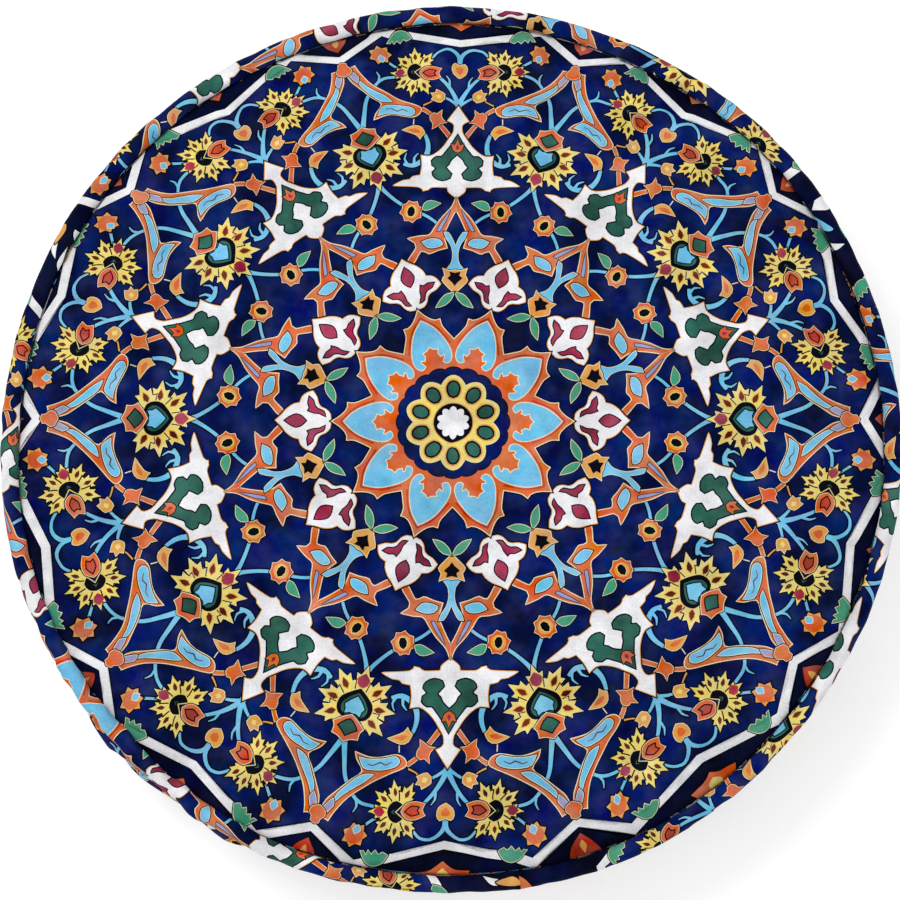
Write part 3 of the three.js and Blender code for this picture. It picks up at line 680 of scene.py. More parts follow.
def top_point(x, y):
    r = np.hypot(x, y)
    a = np.arctan2(y, x)
    row = np.interp(r, TOP_R, np.arange(len(TOP_R)))
    p = on_grid(TOP, row, a)
    near = np.exp(-((R_SEAM - r) / 0.017))
    amp = 0.0008 + 0.0006 * np.clip(PUCKER_AMP(a), -1, 2) + 0.0009 * around(a, 226, 26)
    p[..., 2] += near * amp * (0.8 * PUCKER(a, 26) + 0.35 * PUCKER_2(a, 60)) * np.clip((R_SEAM - r) / 0.006, 0.0, 1)
    di, up = seam_offset(a)
    edge = np.clip((r / R_SEAM - 0.7) / 0.3, 0, 1) ** 2
    p[..., 0] += np.cos(a) * di * edge
    p[..., 1] += np.sin(a) * di * edge
    p[..., 2] += up * edge
    # tucked down against the piping, and in under its inner side
    t = np.clip((r - R_SEAM + 0.0055) / 0.0055, 0, 1)
    p[..., 2] -= 0.0026 * t**2
    out = 0.0016 * t**3
    p[..., 0] += np.cos(a) * out
    p[..., 1] += np.sin(a) * out
    return p


def low_point(x, y):
    r = np.hypot(x, y)
    a = np.arctan2(y, x)
    row = np.interp(r, LOW_R, np.arange(len(LOW_R)))
    p = on_grid(LOW, row, a)
    near = np.exp(-((R_SEAM - r) / 0.015))
    p[..., 2] -= near * 0.0006 * PUCKER(a + 1.7, 26) * np.clip((R_SEAM - r) / 0.006, 0.0, 1)
    p[..., 2] = np.maximum(p[..., 2], 0.00025)
    out = 0.0016 * np.clip((r - R_SEAM + 0.005) / 0.005, 0, 1) ** 3
    p[..., 0] += np.cos(a) * out
    p[..., 1] += np.sin(a) * out
    return p


def side_point(angle, w, flat=0.0):
    """w runs from 0 at the upper seam to 1 at the lower seam. flat is how far the zip holds the cloth in its CAD place."""
    a = np.asarray(angle, float)
    w = np.asarray(w, float)
    row = w * SIDE_RINGS
    p = on_grid(SIDE, row, a)
    q = on_grid(SIDE_REST, row, a)
    f = np.asarray(flat, float)[..., None]
    p = p * (1 - f) + q * f
    top, low = np.exp(-w / 0.13), np.exp(-(1 - w) / 0.13)
    ripple = 0.00065 * (top * PUCKER(a + 0.4, 24) + low * PUCKER(a + 2.9, 24)) * (1 - np.asarray(flat, float))
    ripple = ripple * np.clip(np.minimum(w, 1 - w) / 0.06, 0, 1)
    p[..., 0] += np.cos(a) * ripple
    p[..., 1] += np.sin(a) * ripple
    di, up = seam_offset(a)
    # the side swells past the piping in a few places, most of all at the front left
    swell = 0.0088 * around(a, 222, 9) + 0.0062 * around(a, 240, 5) + 0.0052 * around(a, 205, 5) + 0.0045 * around(a, 312, 5) + 0.004 * around(a, 183, 6) + 0.0042 * around(a, 132, 7) + 0.003 * around(a, 355, 8)
    out = swell * np.exp(-(((w - 0.24) / 0.17) ** 2)) * (1 - np.asarray(flat, float)) + di * np.clip(1 - w * 2.5, 0, 1)
    p[..., 0] += np.cos(a) * out
    p[..., 1] += np.sin(a) * out
    p[..., 2] += up * np.clip(1 - w * 1.6, 0, 1)
    return p


def normals_of(fn, a, b, da, db, flip=False):
    pa, ma = fn(a + da, b), fn(a - da, b)
    pb, mb = fn(a, b + db), fn(a, b - db)
    n = np.cross(pa - ma, pb - mb)
    n /= np.maximum(np.linalg.norm(n, axis=-1, keepdims=True), 1e-12)
    return -n if flip else n


# ------------------------------------------------------------------ making mesh objects
def srgb(c):
    return tuple(v / 255 for v in c)


def make_mesh(name, points, faces, normals=None, colours=None, uv=None, material=None, smooth=True):
    me = bpy.data.meshes.new(name)
    me.from_pydata([tuple(map(float, p)) for p in points], [], faces)
    me.update()
    if colours is not None:
        layer = me.color_attributes.new("print", "BYTE_COLOR", "CORNER")
        table = {k: (*srgb(v), 1.0) for k, v in COLOURS.items()}
        flat = np.empty((len(me.loops), 4), np.float32)
        k = 0
        for f, c in zip(faces, colours):
            flat[k : k + len(f)] = table[c]
            k += len(f)
        layer.data.foreach_set("color_srgb", flat.reshape(-1))
    if uv is not None:
        for uv_name, coords in uv.items():
            layer = me.uv_layers.new(name=uv_name)
            loops = np.empty(len(me.loops), np.int64)
            me.loops.foreach_get("vertex_index", loops)
            layer.data.foreach_set("uv", np.asarray(coords, np.float32)[loops].reshape(-1))
    if smooth:
        me.polygons.foreach_set("use_smooth", [True] * len(me.polygons))
    if normals is not None:
        me.normals_split_custom_set_from_vertices([tuple(map(float, n)) for n in normals])
    me.update()
    ob = bpy.data.objects.new(name, me)
    bpy.context.scene.collection.objects.link(ob)
    if material is not None:
        me.materials.append(material)
    return ob


# ------------------------------------------------------------------ materials, all from nodes
class Nodes:
    def __init__(self, name):
        self.mat = bpy.data.materials.new(name)
        self.mat.use_nodes = True
        self.nt = self.mat.node_tree
        self.nt.nodes.clear()
        self.out = self.nt.nodes.new("ShaderNodeOutputMaterial")
        self.bsdf = self.nt.nodes.new("ShaderNodeBsdfPrincipled")
        self.nt.links.new(self.bsdf.outputs[0], self.out.inputs[0])

    def add(self, kind, **values):
        node = self.nt.nodes.new(kind)
        for k, v in values.items():
            if k.startswith("_"):
                setattr(node, k[1:], v)
            else:
                node.inputs[k.replace("__", " ")].default_value = v
        return node

    def link(self, a, b):
        self.nt.links.new(a, b)

    def math(self, op, a, b=0.5, c=None):
        node = self.nt.nodes.new("ShaderNodeMath")
        node.operation = op
        for i, v in enumerate((a, b) if c is None else (a, b, c)):
            if isinstance(v, (int, float)):
                node.inputs[i].default_value = v
            else:
                self.link(v, node.inputs[i])
        return node.outputs[0]

    def ramp(self, value, low, high, to_low=0.0, to_high=1.0):
        node = self.nt.nodes.new("ShaderNodeMapRange")
        self.link(value, node.inputs[0])
        for i, v in enumerate((low, high, to_low, to_high)):
            node.inputs[i + 1].default_value = v
        return node.outputs[0]

    def noise(self, vector, scale, detail=3.0, rough=0.5):
        node = self.add("ShaderNodeTexNoise", Scale=scale, Detail=detail, Roughness=rough)
        self.link(vector, node.inputs["Vector"])
        return node

    def mix(self, kind, fac, a, b):
        node = self.nt.nodes.new("ShaderNodeMix")
        node.data_type = "RGBA"
        node.blend_type = kind
        if isinstance(fac, (int, float)):
            node.inputs["Factor"].default_value = fac
        else:
            self.link(fac, node.inputs["Factor"])
        for name, v in (("A", a), ("B", b)):
            sock = [s for s in node.inputs if s.name == name and s.type == "RGBA"][0]
            if isinstance(v, tuple):
                sock.default_value = v
            else:
                self.link(v, sock)
        return [s for s in node.outputs if s.type == "RGBA"][0]

    def grey(self, value):
        node = self.nt.nodes.new("ShaderNodeCombineColor")
        for i in range(3):
            self.link(value, node.inputs[i])
        return node.outputs[0]

    def bump(self, height, distance, strength=1.0, before=None):
        node = self.nt.nodes.new("ShaderNodeBump")
        node.inputs["Distance"].default_value = distance
        node.inputs["Strength"].default_value = strength
        self.link(height, node.inputs["Height"])
        if before is not None:
            self.link(before, node.inputs["Normal"])
        return node.outputs[0]


def linear(c):
    f = lambda v: v / 12.92 if v <= 0.04045 else ((v + 0.055) / 1.055) ** 2.4
    return tuple(f(v / 255) for v in c) + (1.0,)


def weave(n, uv, pitch):
    """A plain weave: warp and weft that cross over and under. Returns its height, 0 to 1."""
    sep = n.nt.nodes.new("ShaderNodeSeparateXYZ")
    n.link(uv, sep.inputs[0])
    k = math.pi / pitch
    x, y = n.math("MULTIPLY", sep.outputs[0], k), n.math("MULTIPLY", sep.outputs[1], k)
    sx, sy = n.math("SINE", x), n.math("SINE", y)
    warp = n.math("ABSOLUTE", sx)
    weft = n.math("ABSOLUTE", sy)
    over = n.math("MULTIPLY", n.math("SINE", n.math("MULTIPLY", x, 1.0)), n.math("SINE", n.math("MULTIPLY", y, 1.0)))
    side = n.ramp(over, -0.35, 0.35)
    a = n.math("MULTIPLY", warp, side)
    b = n.math("MULTIPLY", weft, n.math("SUBTRACT", 1.0, side))
    return n.math("ADD", a, b)


def printed_cotton():
    n = Nodes("printed_cotton")
    uv = n.add("ShaderNodeUVMap", _uv_map="cloth").outputs[0]
    obj = n.add("ShaderNodeTexCoord").outputs["Object"]
    ink = n.add("ShaderNodeAttribute", _attribute_name="print").outputs["Color"]
    # the dye took unevenly: broad clouds, then blotches, then the grain of the thread
    broad = n.noise(uv, 27.0, 3.0, 0.6)
    blotch = n.noise(uv, 75.0, 4.0, 0.6)
    grain = n.noise(uv, 700.0, 2.0, 0.6)
    bw = n.nt.nodes.new("ShaderNodeRGBToBW")
    n.link(ink, bw.inputs[0])
    light = n.ramp(bw.outputs[0], 0.01, 0.25)
    depth = n.math("MULTIPLY_ADD", light, 0.56, 0.32)
    clouds = n.ramp(broad.outputs[0], 0.38, 0.60)
    spread = n.math("SUBTRACT", 1.06, depth)
    spread = n.math("MULTIPLY_ADD", n.math("SUBTRACT", 1.0, light), 0.34, spread)
    c = n.mix("MULTIPLY", 1.0, ink, n.grey(n.math("MULTIPLY_ADD", clouds, spread, depth)))
    c = n.mix("MULTIPLY", 1.0, c, n.grey(n.ramp(blotch.outputs[0], 0.3, 0.7, 0.84, 1.10)))
    c = n.mix("MULTIPLY", 0.55, c, n.grey(n.ramp(grain.outputs[0], 0.3, 0.7, 0.82, 1.12)))
    hue = n.nt.nodes.new("ShaderNodeHueSaturation")
    n.link(n.ramp(n.noise(uv, 42.0, 3.0, 0.6).outputs[0], 0.3, 0.7, 0.487, 0.512), hue.inputs["Hue"])
    n.link(n.ramp(n.noise(uv, 60.0, 3.0, 0.5).outputs[0], 0.3, 0.7, 0.88, 1.08), hue.inputs["Saturation"])
    n.link(c, hue.inputs["Color"])
    w = weave(n, uv, 0.00085)
    # painted shade: the colour is darkened where the weave lies low, in the hollows between the threads
    c = n.mix("MULTIPLY", 1.0, hue.outputs[0], n.grey(n.ramp(w, 0.0, 1.0, 0.86, 1.06)))
    n.link(c, n.bsdf.inputs["Base Color"])
    rough = n.math("ADD", n.ramp(blotch.outputs[0], 0.3, 0.7, 0.74, 0.88), n.ramp(w, 0.0, 1.0, 0.06, -0.04))
    n.link(rough, n.bsdf.inputs["Roughness"])
    crease = n.noise(obj, 26.0, 4.0, 0.55)
    fine = n.noise(obj, 150.0, 3.0, 0.55)
    b = n.bump(crease.outputs[0], 0.0035, 0.35)
    b = n.bump(fine.outputs[0], 0.0007, 0.35, b)
    b = n.bump(w, 0.00022, 0.55, b)
    n.link(b, n.bsdf.inputs["Normal"])
    n.bsdf.inputs["Sheen Weight"].default_value = 0.01
    n.bsdf.inputs["Sheen Roughness"].default_value = 0.4
    n.bsdf.inputs["Specular IOR Level"].default_value = 0.04
    return n.mat


def plain_cloth(name, colour, pitch, dirt=0.12, bumpy=0.0016, scale=1.0):
    n = Nodes(name)
    obj = n.add("ShaderNodeTexCoord").outputs["Object"]
    blotch = n.noise(obj, 60.0 * scale, 4.0, 0.6)
    slub = n.noise(obj, 900.0 * scale, 2.0, 0.7)
    w = weave(n, obj, pitch)
    c = n.mix("MULTIPLY", 1.0, linear(colour), n.grey(n.ramp(blotch.outputs[0], 0.3, 0.7, 1 - dirt, 1 + dirt * 0.5)))
    c = n.mix("MULTIPLY", 1.0, c, n.grey(n.ramp(slub.outputs[0], 0.3, 0.7, 0.86, 1.08)))
    # painted shade: the colour is darkened where the weave lies low, in the hollows between the threads
    c = n.mix("MULTIPLY", 1.0, c, n.grey(n.ramp(w, 0.0, 1.0, 0.8, 1.05)))
    n.link(c, n.bsdf.inputs["Base Color"])
    n.link(n.ramp(slub.outputs[0], 0.3, 0.7, 0.78, 0.95), n.bsdf.inputs["Roughness"])
    b = n.bump(blotch.outputs[0], bumpy, 0.6)
    b = n.bump(w, pitch * 0.4, 0.8, b)
    n.link(b, n.bsdf.inputs["Normal"])
    n.bsdf.inputs["Sheen Weight"].default_value = 0.15
    return n.mat


def fibre(name, colour):
    n = Nodes(name)
    obj = n.add("ShaderNodeTexCoord").outputs["Object"]
    warp = n.noise(obj, 30.0, 3.0, 0.6)
    shift = n.mix("LINEAR_LIGHT", 0.06, obj, warp.outputs[1])
    strands = n.noise(shift, 420.0, 5.0, 0.75)
    tufts = n.add("ShaderNodeTexVoronoi", Scale=70.0)
    n.link(shift, tufts.inputs["Vector"])
    c = n.mix("MULTIPLY", 1.0, linear(colour), n.grey(n.ramp(strands.outputs[0], 0.25, 0.75, 0.72, 1.05)))
    c = n.mix("MULTIPLY", 1.0, c, n.grey(n.ramp(tufts.outputs[0], 0.0, 0.7, 1.03, 0.84)))
    n.link(c, n.bsdf.inputs["Base Color"])
    n.link(n.ramp(strands.outputs[0], 0.3, 0.7, 0.85, 1.0), n.bsdf.inputs["Roughness"])
    b = n.bump(tufts.outputs[0], 0.004, 0.7)
    b = n.bump(strands.outputs[0], 0.0012, 0.9, b)
    n.link(b, n.bsdf.inputs["Normal"])
    n.bsdf.inputs["Sheen Weight"].default_value = 0.4
    return n.mat


def hard(name, colour, rough, metallic, scale=900.0, wear=None):
    n = Nodes(name)
    obj = n.add("ShaderNodeTexCoord").outputs["Object"]
    cloud = n.noise(obj, scale * 0.25, 4.0, 0.6)
    grit = n.noise(obj, scale * 2.0, 3.0, 0.7)
    c = n.mix("MULTIPLY", 1.0, linear(colour), n.grey(n.ramp(cloud.outputs[0], 0.3, 0.7, 0.8, 1.06)))
    if wear:
        c = n.mix("MIX", n.ramp(cloud.outputs[0], 0.58, 0.74, 0.0, 0.6), c, linear(wear))
    n.link(c, n.bsdf.inputs["Base Color"])
    n.link(n.math("ADD", n.ramp(cloud.outputs[0], 0.3, 0.7, rough - 0.07, rough + 0.1), n.ramp(grit.outputs[0], 0.3, 0.7, -0.03, 0.05)), n.bsdf.inputs["Roughness"])
    n.link(n.bump(grit.outputs[0], 0.00006, 0.5), n.bsdf.inputs["Normal"])
    n.bsdf.inputs["Metallic"].default_value = metallic
    return n.mat


PRINTED = printed_cotton()
CALICO = plain_cloth("calico", (226, 219, 200), 0.0009)
CORD = plain_cloth("piping_cord", (224, 215, 192), 0.0007, 0.2)
TAPE = plain_cloth("zip_tape", (22, 30, 82), 0.0007, 0.2, 0.0004, 3.0)
THREAD = plain_cloth("thread", (30, 38, 104), 0.0003, 0.2, 0.0002, 4.0)
FIBRE = fibre("polyester_fibre", (242, 242, 238))
COIL = hard("zip_coil", (20, 27, 74), 0.38, 0.0)
NICKEL = hard("zip_metal", (196, 193, 184), 0.24, 1.0, wear=(150, 140, 118))

# ------------------------------------------------------------------ cutting strips from the printed cloth
SHAPES = draw_print()
BOLT_V, BOLT_F, BOLT_C = whole_print(SHAPES, 560.0, 8.5)
BOLT_T = np.array(BOLT_F)
print("print:", len(BOLT_V), "points", len(BOLT_F), "faces")


def clip(poly, axis, limit, keep_above):
    out = []
    for i in range(len(poly)):
        a, b = poly[i - 1], poly[i]
        ia = (a[axis] >= limit) == keep_above
        ib = (b[axis] >= limit) == keep_above
        if ia != ib:
            t = (limit - a[axis]) / (b[axis] - a[axis])
            out.append((a[0] + (b[0] - a[0]) * t, a[1] + (b[1] - a[1]) * t))
        if ib:
            out.append(b)
    return out


def slice_poly(poly, axis, pitch, out):
    """Cuts a polygon wherever it crosses a multiple of pitch."""
    lo = min(p[axis] for p in poly)
    hi = max(p[axis] for p in poly)
    first = math.floor(lo / pitch + 1e-6) + 1
    rest = poly
    k = first
    while k * pitch < hi - 1e-6:
        part = clip(rest, axis, k * pitch, False)
        if len(part) > 2:
            out.append(part)
        rest = clip(rest, axis, k * pitch, True)
        if len(rest) < 3:
            return
        k += 1
    out.append(rest)


def cut_strip(start, angle, length, width, v_pitch=None, u_pitch=None):
    """A strip of the printed cloth. start and the rest are in print units; returns polygons in (u, v) and their colours."""
    c, s = math.cos(angle), math.sin(angle)
    d = BOLT_V - np.array(start)
    uv = np.stack([d[:, 0] * c + d[:, 1] * s, -d[:, 0] * s + d[:, 1] * c], 1)
    polys, cols = [], []
    corners = uv[BOLT_T]
    lows, highs = corners.min(1), corners.max(1)
    near = (highs[:, 0] > 0) & (lows[:, 0] < length) & (highs[:, 1] > 0) & (lows[:, 1] < width)
    for fi in np.nonzero(near)[0]:
        p, col = corners[fi].tolist(), BOLT_C[fi]
        lo, hi = lows[fi], highs[fi]
        poly = [tuple(q) for q in p]
        if lo[0] < 0:
            poly = clip(poly, 0, 0.0, True)
        if len(poly) > 2 and hi[0] > length:
            poly = clip(poly, 0, length, False)
        if len(poly) > 2 and lo[1] < 0:
            poly = clip(poly, 1, 0.0, True)
        if len(poly) > 2 and hi[1] > width:
            poly = clip(poly, 1, width, False)
        if len(poly) < 3:
            continue
        parts = [poly]
        if v_pitch:
            nxt = []
            for q in parts:
                slice_poly(q, 1, v_pitch, nxt)
            parts = nxt
        if u_pitch:
            nxt = []
            for q in parts:
                slice_poly(q, 0, u_pitch, nxt)
            parts = nxt
        for q in parts:
            area = sum(q[i - 1][0] * q[i][1] - q[i][0] * q[i - 1][1] for i in range(len(q)))
            if area > 0.004:
                polys.append(q)
                cols.append(col)
    return polys, cols


def weld(polys, cols):
    table, pts, faces, colours = {}, [], [], []
    for q, col in zip(polys, cols):
        f = []
        for p in q:
            key = (round(p[0] * 50), round(p[1] * 50))
            if key not in table:
                table[key] = len(pts)
                pts.append(p)
            i = table[key]
            if not f or (f[-1] != i and f[0] != i):
                f.append(i)
        if len(f) > 2 and len(set(f)) == len(f):
            faces.append(f)
            colours.append(col)
    return np.array(pts), faces, colours


# ------------------------------------------------------------------ seat and base panels
PULL_X = (-0.54, -2.81, -5.0, -0.96, -22.29, 3.64, 7.77, -5.64, 3.15, 5.01)
PULL_Y = (-2.48, 7.4, -12.15, 25.94, -6.8, 0.62, 0.22, 3.35, 1.26, 6.75)


def to_panel(v):
    """From the drawing to the panel: the medallion was cut a little off centre, and the seam pulls it back at the rim."""
    r = np.hypot(v[:, 0], v[:, 1])
    k = 1 - np.minimum(1, r / 452.0) ** 2.4
    t = math.radians(-1.15)
    x = v[:, 0] * math.cos(t) - v[:, 1] * math.sin(t) + 4.0 * k - 2.0 * (1 - k)
    y = v[:, 0] * math.sin(t) + v[:, 1] * math.cos(t) + 28.5 * k
    # the filling and the seam draw the printed cloth unevenly: a smooth pull, in print units
    X, Y = np.clip(x / 400, -1.2, 1.2), np.clip(y / 400, -1.2, 1.2)
    terms = (np.ones_like(X), X, Y, X * X, X * Y, Y * Y, X**3, X * X * Y, X * Y * Y, Y**3)
    x = x + sum(c * q for c, q in zip(PULL_X, terms))
    y = y + sum(c * q for c, q in zip(PULL_Y, terms))
    return np.stack([x, y], 1) * PX


def panel(name, point, place, flip):
    """Cuts the printed bolt to a circle on the seam line and lays it on the cushion."""
    xy = place(BOLT_V)
    inside = np.hypot(xy[:, 0], xy[:, 1]) <= R_SEAM
    count = inside[BOLT_T].sum(1)
    whole = np.nonzero(count == 3)[0]
    faces = BOLT_T[whole].tolist()
    cols = [BOLT_C[i] for i in whole]
    extra, known = [], {}

    def crossing(i, j):
        """The point where the edge from i, inside, to j, outside, meets the seam line."""
        if (i, j) not in known:
            p, q = xy[i], xy[j] - xy[i]
            a, b, c = q @ q, 2 * (p @ q), p @ p - R_SEAM**2
            t = min(1.0, max(0.0, (-b + math.sqrt(max(0.0, b * b - 4 * a * c))) / (2 * a)))
            known[(i, j)] = len(xy) + len(extra)
            extra.append((i, j, t))
        return known[(i, j)]

    for fi in np.nonzero((count == 1) | (count == 2))[0]:
        f = BOLT_F[fi]
        poly = []
        for k in range(3):
            i, j = f[k], f[(k + 1) % 3]
            if inside[i]:
                poly.append(i)
            if inside[i] and not inside[j]:
                poly.append(crossing(i, j))
            elif inside[j] and not inside[i]:
                poly.append(crossing(j, i))
        for k in range(1, len(poly) - 1):
            faces.append([poly[0], poly[k], poly[k + 1]])
            cols.append(BOLT_C[fi])
    cut = np.array([[i, j] for i, j, _ in extra])
    t = np.array([t for _, _, t in extra])[:, None]
    xy = np.concatenate([xy, xy[cut[:, 0]] * (1 - t) + xy[cut[:, 1]] * t])
    flat = np.concatenate([BOLT_V, BOLT_V[cut[:, 0]] * (1 - t) + BOLT_V[cut[:, 1]] * t]) * PX
    faces = np.array(faces)
    if flip:
        faces = faces[:, ::-1]
    used, faces = np.unique(faces, return_inverse=True)
    faces = faces.reshape(-1, 3)
    xy, flat = xy[used], flat[used]
    pts = point(xy[:, 0], xy[:, 1])
    nor = normals_of(point, xy[:, 0], xy[:, 1], 0.0006, 0.0006, flip)
    bake = 0.5 + xy / (2 * R_SEAM) * 0.98
    ob = make_mesh(name, pts, faces.tolist(), nor, cols, {"OFBake": bake, "cloth": flat}, PRINTED)
    ob.data.uv_layers["OFBake"].active_render = True
    return ob


top = panel("seat_panel_printed", top_point, to_panel, False)
base = panel("base_panel_printed", low_point, lambda v: v * np.array([1.0, 1.0]) * PX * 1.0 + np.array([0.006, -0.004]), True)


# ------------------------------------------------------------------ box side and gussets
SIDE_LEN = Z_TOP - Z_LOW
MID_R = R_BAND


def side_piece(name, a0, a1, w0, w1, cuts, folds=(False, False), flat=False, hem=(False, False)):
    """cuts: (share of the length, start, angle in the bolt) for each strip that is joined end to end. folds: turned in at the upper or lower edge."""
    all_pts, all_faces, all_cols, all_uv = [], [], [], []
    width = (w1 - w0) * SIDE_LEN / PX
    fold = 3.2 * MM / PX
    v_lo = -fold if folds[0] else 0.0
    v_hi = width + (fold if folds[1] else 0.0)
    at = 0.0
    total = (a1 - a0) * MID_R / PX
    for share, start, turn in cuts:
        length = share * total
        polys, cols = cut_strip(start, turn, length, v_hi - v_lo, None, None)
        if folds[0] or folds[1]:
            nxt, nc = [], []
            for q, c in zip(polys, cols):
                parts = [q]
                for edge in ([fold] if folds[0] else []) + ([v_hi - v_lo - fold] if folds[1] else []):
                    for k in (-1.6, -0.8, 0.0, 0.8):
                        line = edge + k
                        more = []
                        for z in parts:
                            lo_, hi_ = min(p[1] for p in z), max(p[1] for p in z)
                            if lo_ < line - 1e-6 and hi_ > line + 1e-6:
                                more += [clip(z, 1, line, False), clip(z, 1, line, True)]
                            else:
                                more.append(z)
                        parts = [z for z in more if len(z) > 2]
                nxt += parts
                nc += [c] * len(parts)
            polys, cols = nxt, nc
        pts, faces, cols = weld(polys, cols)
        base_i = sum(len(p) for p in all_pts)
        c, s = math.cos(turn), math.sin(turn)
        flat_uv = np.stack([start[0] + pts[:, 0] * c - pts[:, 1] * s, start[1] + pts[:, 0] * s + pts[:, 1] * c], 1) * PX
        pts = pts + np.array([at, v_lo])
        # at a join the cloth dips
        all_pts.append(pts)
        all_uv.append(flat_uv)
        all_faces += [[i + base_i for i in f] for f in faces]
        all_cols += cols
        at += length
    pts = np.concatenate(all_pts)
    joins = []
    run = 0.0
    for share, _, _ in cuts[:-1]:
        run += share * total
        joins.append(run)
    held = 1.0 if flat else 0.0

    def place(u, v):
        """u along, v down, in print units."""
        ang = a0 + u / total * (a1 - a0)
        t = np.clip(v, 0, width)
        w = w0 + t * PX / SIDE_LEN
        h = np.full_like(ang, held)
        if flat:
            # the cloth is held near the zip and is free near the piping
            near = np.abs(w - (w1 if folds[1] else w0)) * SIDE_LEN
            h = np.clip(1.25 - near / 0.030, 0, 1)
            ends = np.minimum(np.abs(ang - a0), np.abs(a1 - ang)) * MID_R
            h = h * np.clip(ends / 0.02, 0, 1) ** 0.5
        else:
            # beside the gusset the box side keeps the same face as it
            ends = np.minimum(np.abs(ang - a0), np.abs(a1 - ang)) * MID_R
            h = h * 0
        p = side_point(ang, w, h)
        over = np.where(v < 0, -v, np.where(v > width, v - width, 0)) * PX
        if folds[0] or folds[1]:
            rad = 0.0006
            phi = np.clip(over / rad, 0, math.pi)
            beyond = np.maximum(over - rad * math.pi, 0)
            inward = rad * (1 - np.cos(phi))
            drop = rad * np.sin(phi) - beyond
            sgn = np.where(v < 0, 1.0, -1.0)
            p[..., 0] -= np.cos(ang) * inward
            p[..., 1] -= np.sin(ang) * inward
            p[..., 2] += sgn * drop * (over > 0)
        for j in joins:
            g = np.exp(-np.abs(u - j) * PX / 0.0016) * 0.0011
            p[..., 0] -= np.cos(ang) * g
            p[..., 1] -= np.sin(ang) * g
        return p

    pos = place(pts[:, 0], pts[:, 1])
    nor = normals_of(place, pts[:, 0], pts[:, 1], 0.9, 0.45, False)
    out = np.stack([np.cos(a0 + pts[:, 0] / total * (a1 - a0)), np.sin(a0 + pts[:, 0] / total * (a1 - a0)), np.zeros(len(pts))], 1)
    over = (pts[:, 1] < 0) | (pts[:, 1] > width)
    wrong = (np.einsum("ij,ij->i", nor, out) < 0) & ~over
    nor[wrong] *= -1
    faces = all_faces
    # u runs anticlockwise seen from above and v runs down, so the order is turned to face outwards
    faces = [f[::-1] for f in faces]
    bake = np.stack([pts[:, 0] / total, 0.5 + (pts[:, 1] / total)], 1)
    return make_mesh(name, pos, faces, nor, all_cols, {"cloth": np.concatenate(all_uv)}, PRINTED)


tau = 2 * math.pi
half_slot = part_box("zip_gusset_upper")[0].z
w_up = (Z_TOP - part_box("zip_gusset_upper")[0].z) / SIDE_LEN
w_dn = (Z_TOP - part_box("zip_gusset_lower")[1].z) / SIDE_LEN
band = side_piece(
    "box_side_printed", GUSSET[1] + 0.0006, GUSSET[0] + tau - 0.0006, 0.0, 1.0,
    [(0.25, (-230, 190), 0.0), (0.5, (-456, -58), 0.0), (0.25, (-230, -345), 0.0)],
)
gus_up = side_piece("zip_gusset_upper_printed", GUSSET[0] + 0.0006, GUSSET[1] - 0.0006, 0.0, w_up, [(1.0, (-480, -214), 0.0)], (False, True), True)
gus_dn = side_piece("zip_gusset_lower_printed", GUSSET[0] + 0.0006, GUSSET[1] - 0.0006, w_dn, 1.0, [(1.0, (-480, 110), 0.0)], (True, False), True)


# ------------------------------------------------------------------ pipings
WELT_A = value_noise(41, 40)
WELT_B = value_noise(42, 90)
WELT_C = value_noise(43, 14)
SPAN = math.radians(158)  # how far the casing shows, each way from its outermost line


def pipe_line(a, upper):
    """How the line of a piping wanders. The upper one is pulled in a little where the side swells over it."""
    if not upper:
        return 0.0006 * SEAM_WAVE(a + 2), 0 * a
    di, up = seam_offset(a)
    pull = around(a, 222, 10) + 0.6 * around(a, 240, 6) + 0.6 * around(a, 205, 6)
    return di - 0.0016 * pull, up + 0.0008 * pull * np.sin(a * 60)


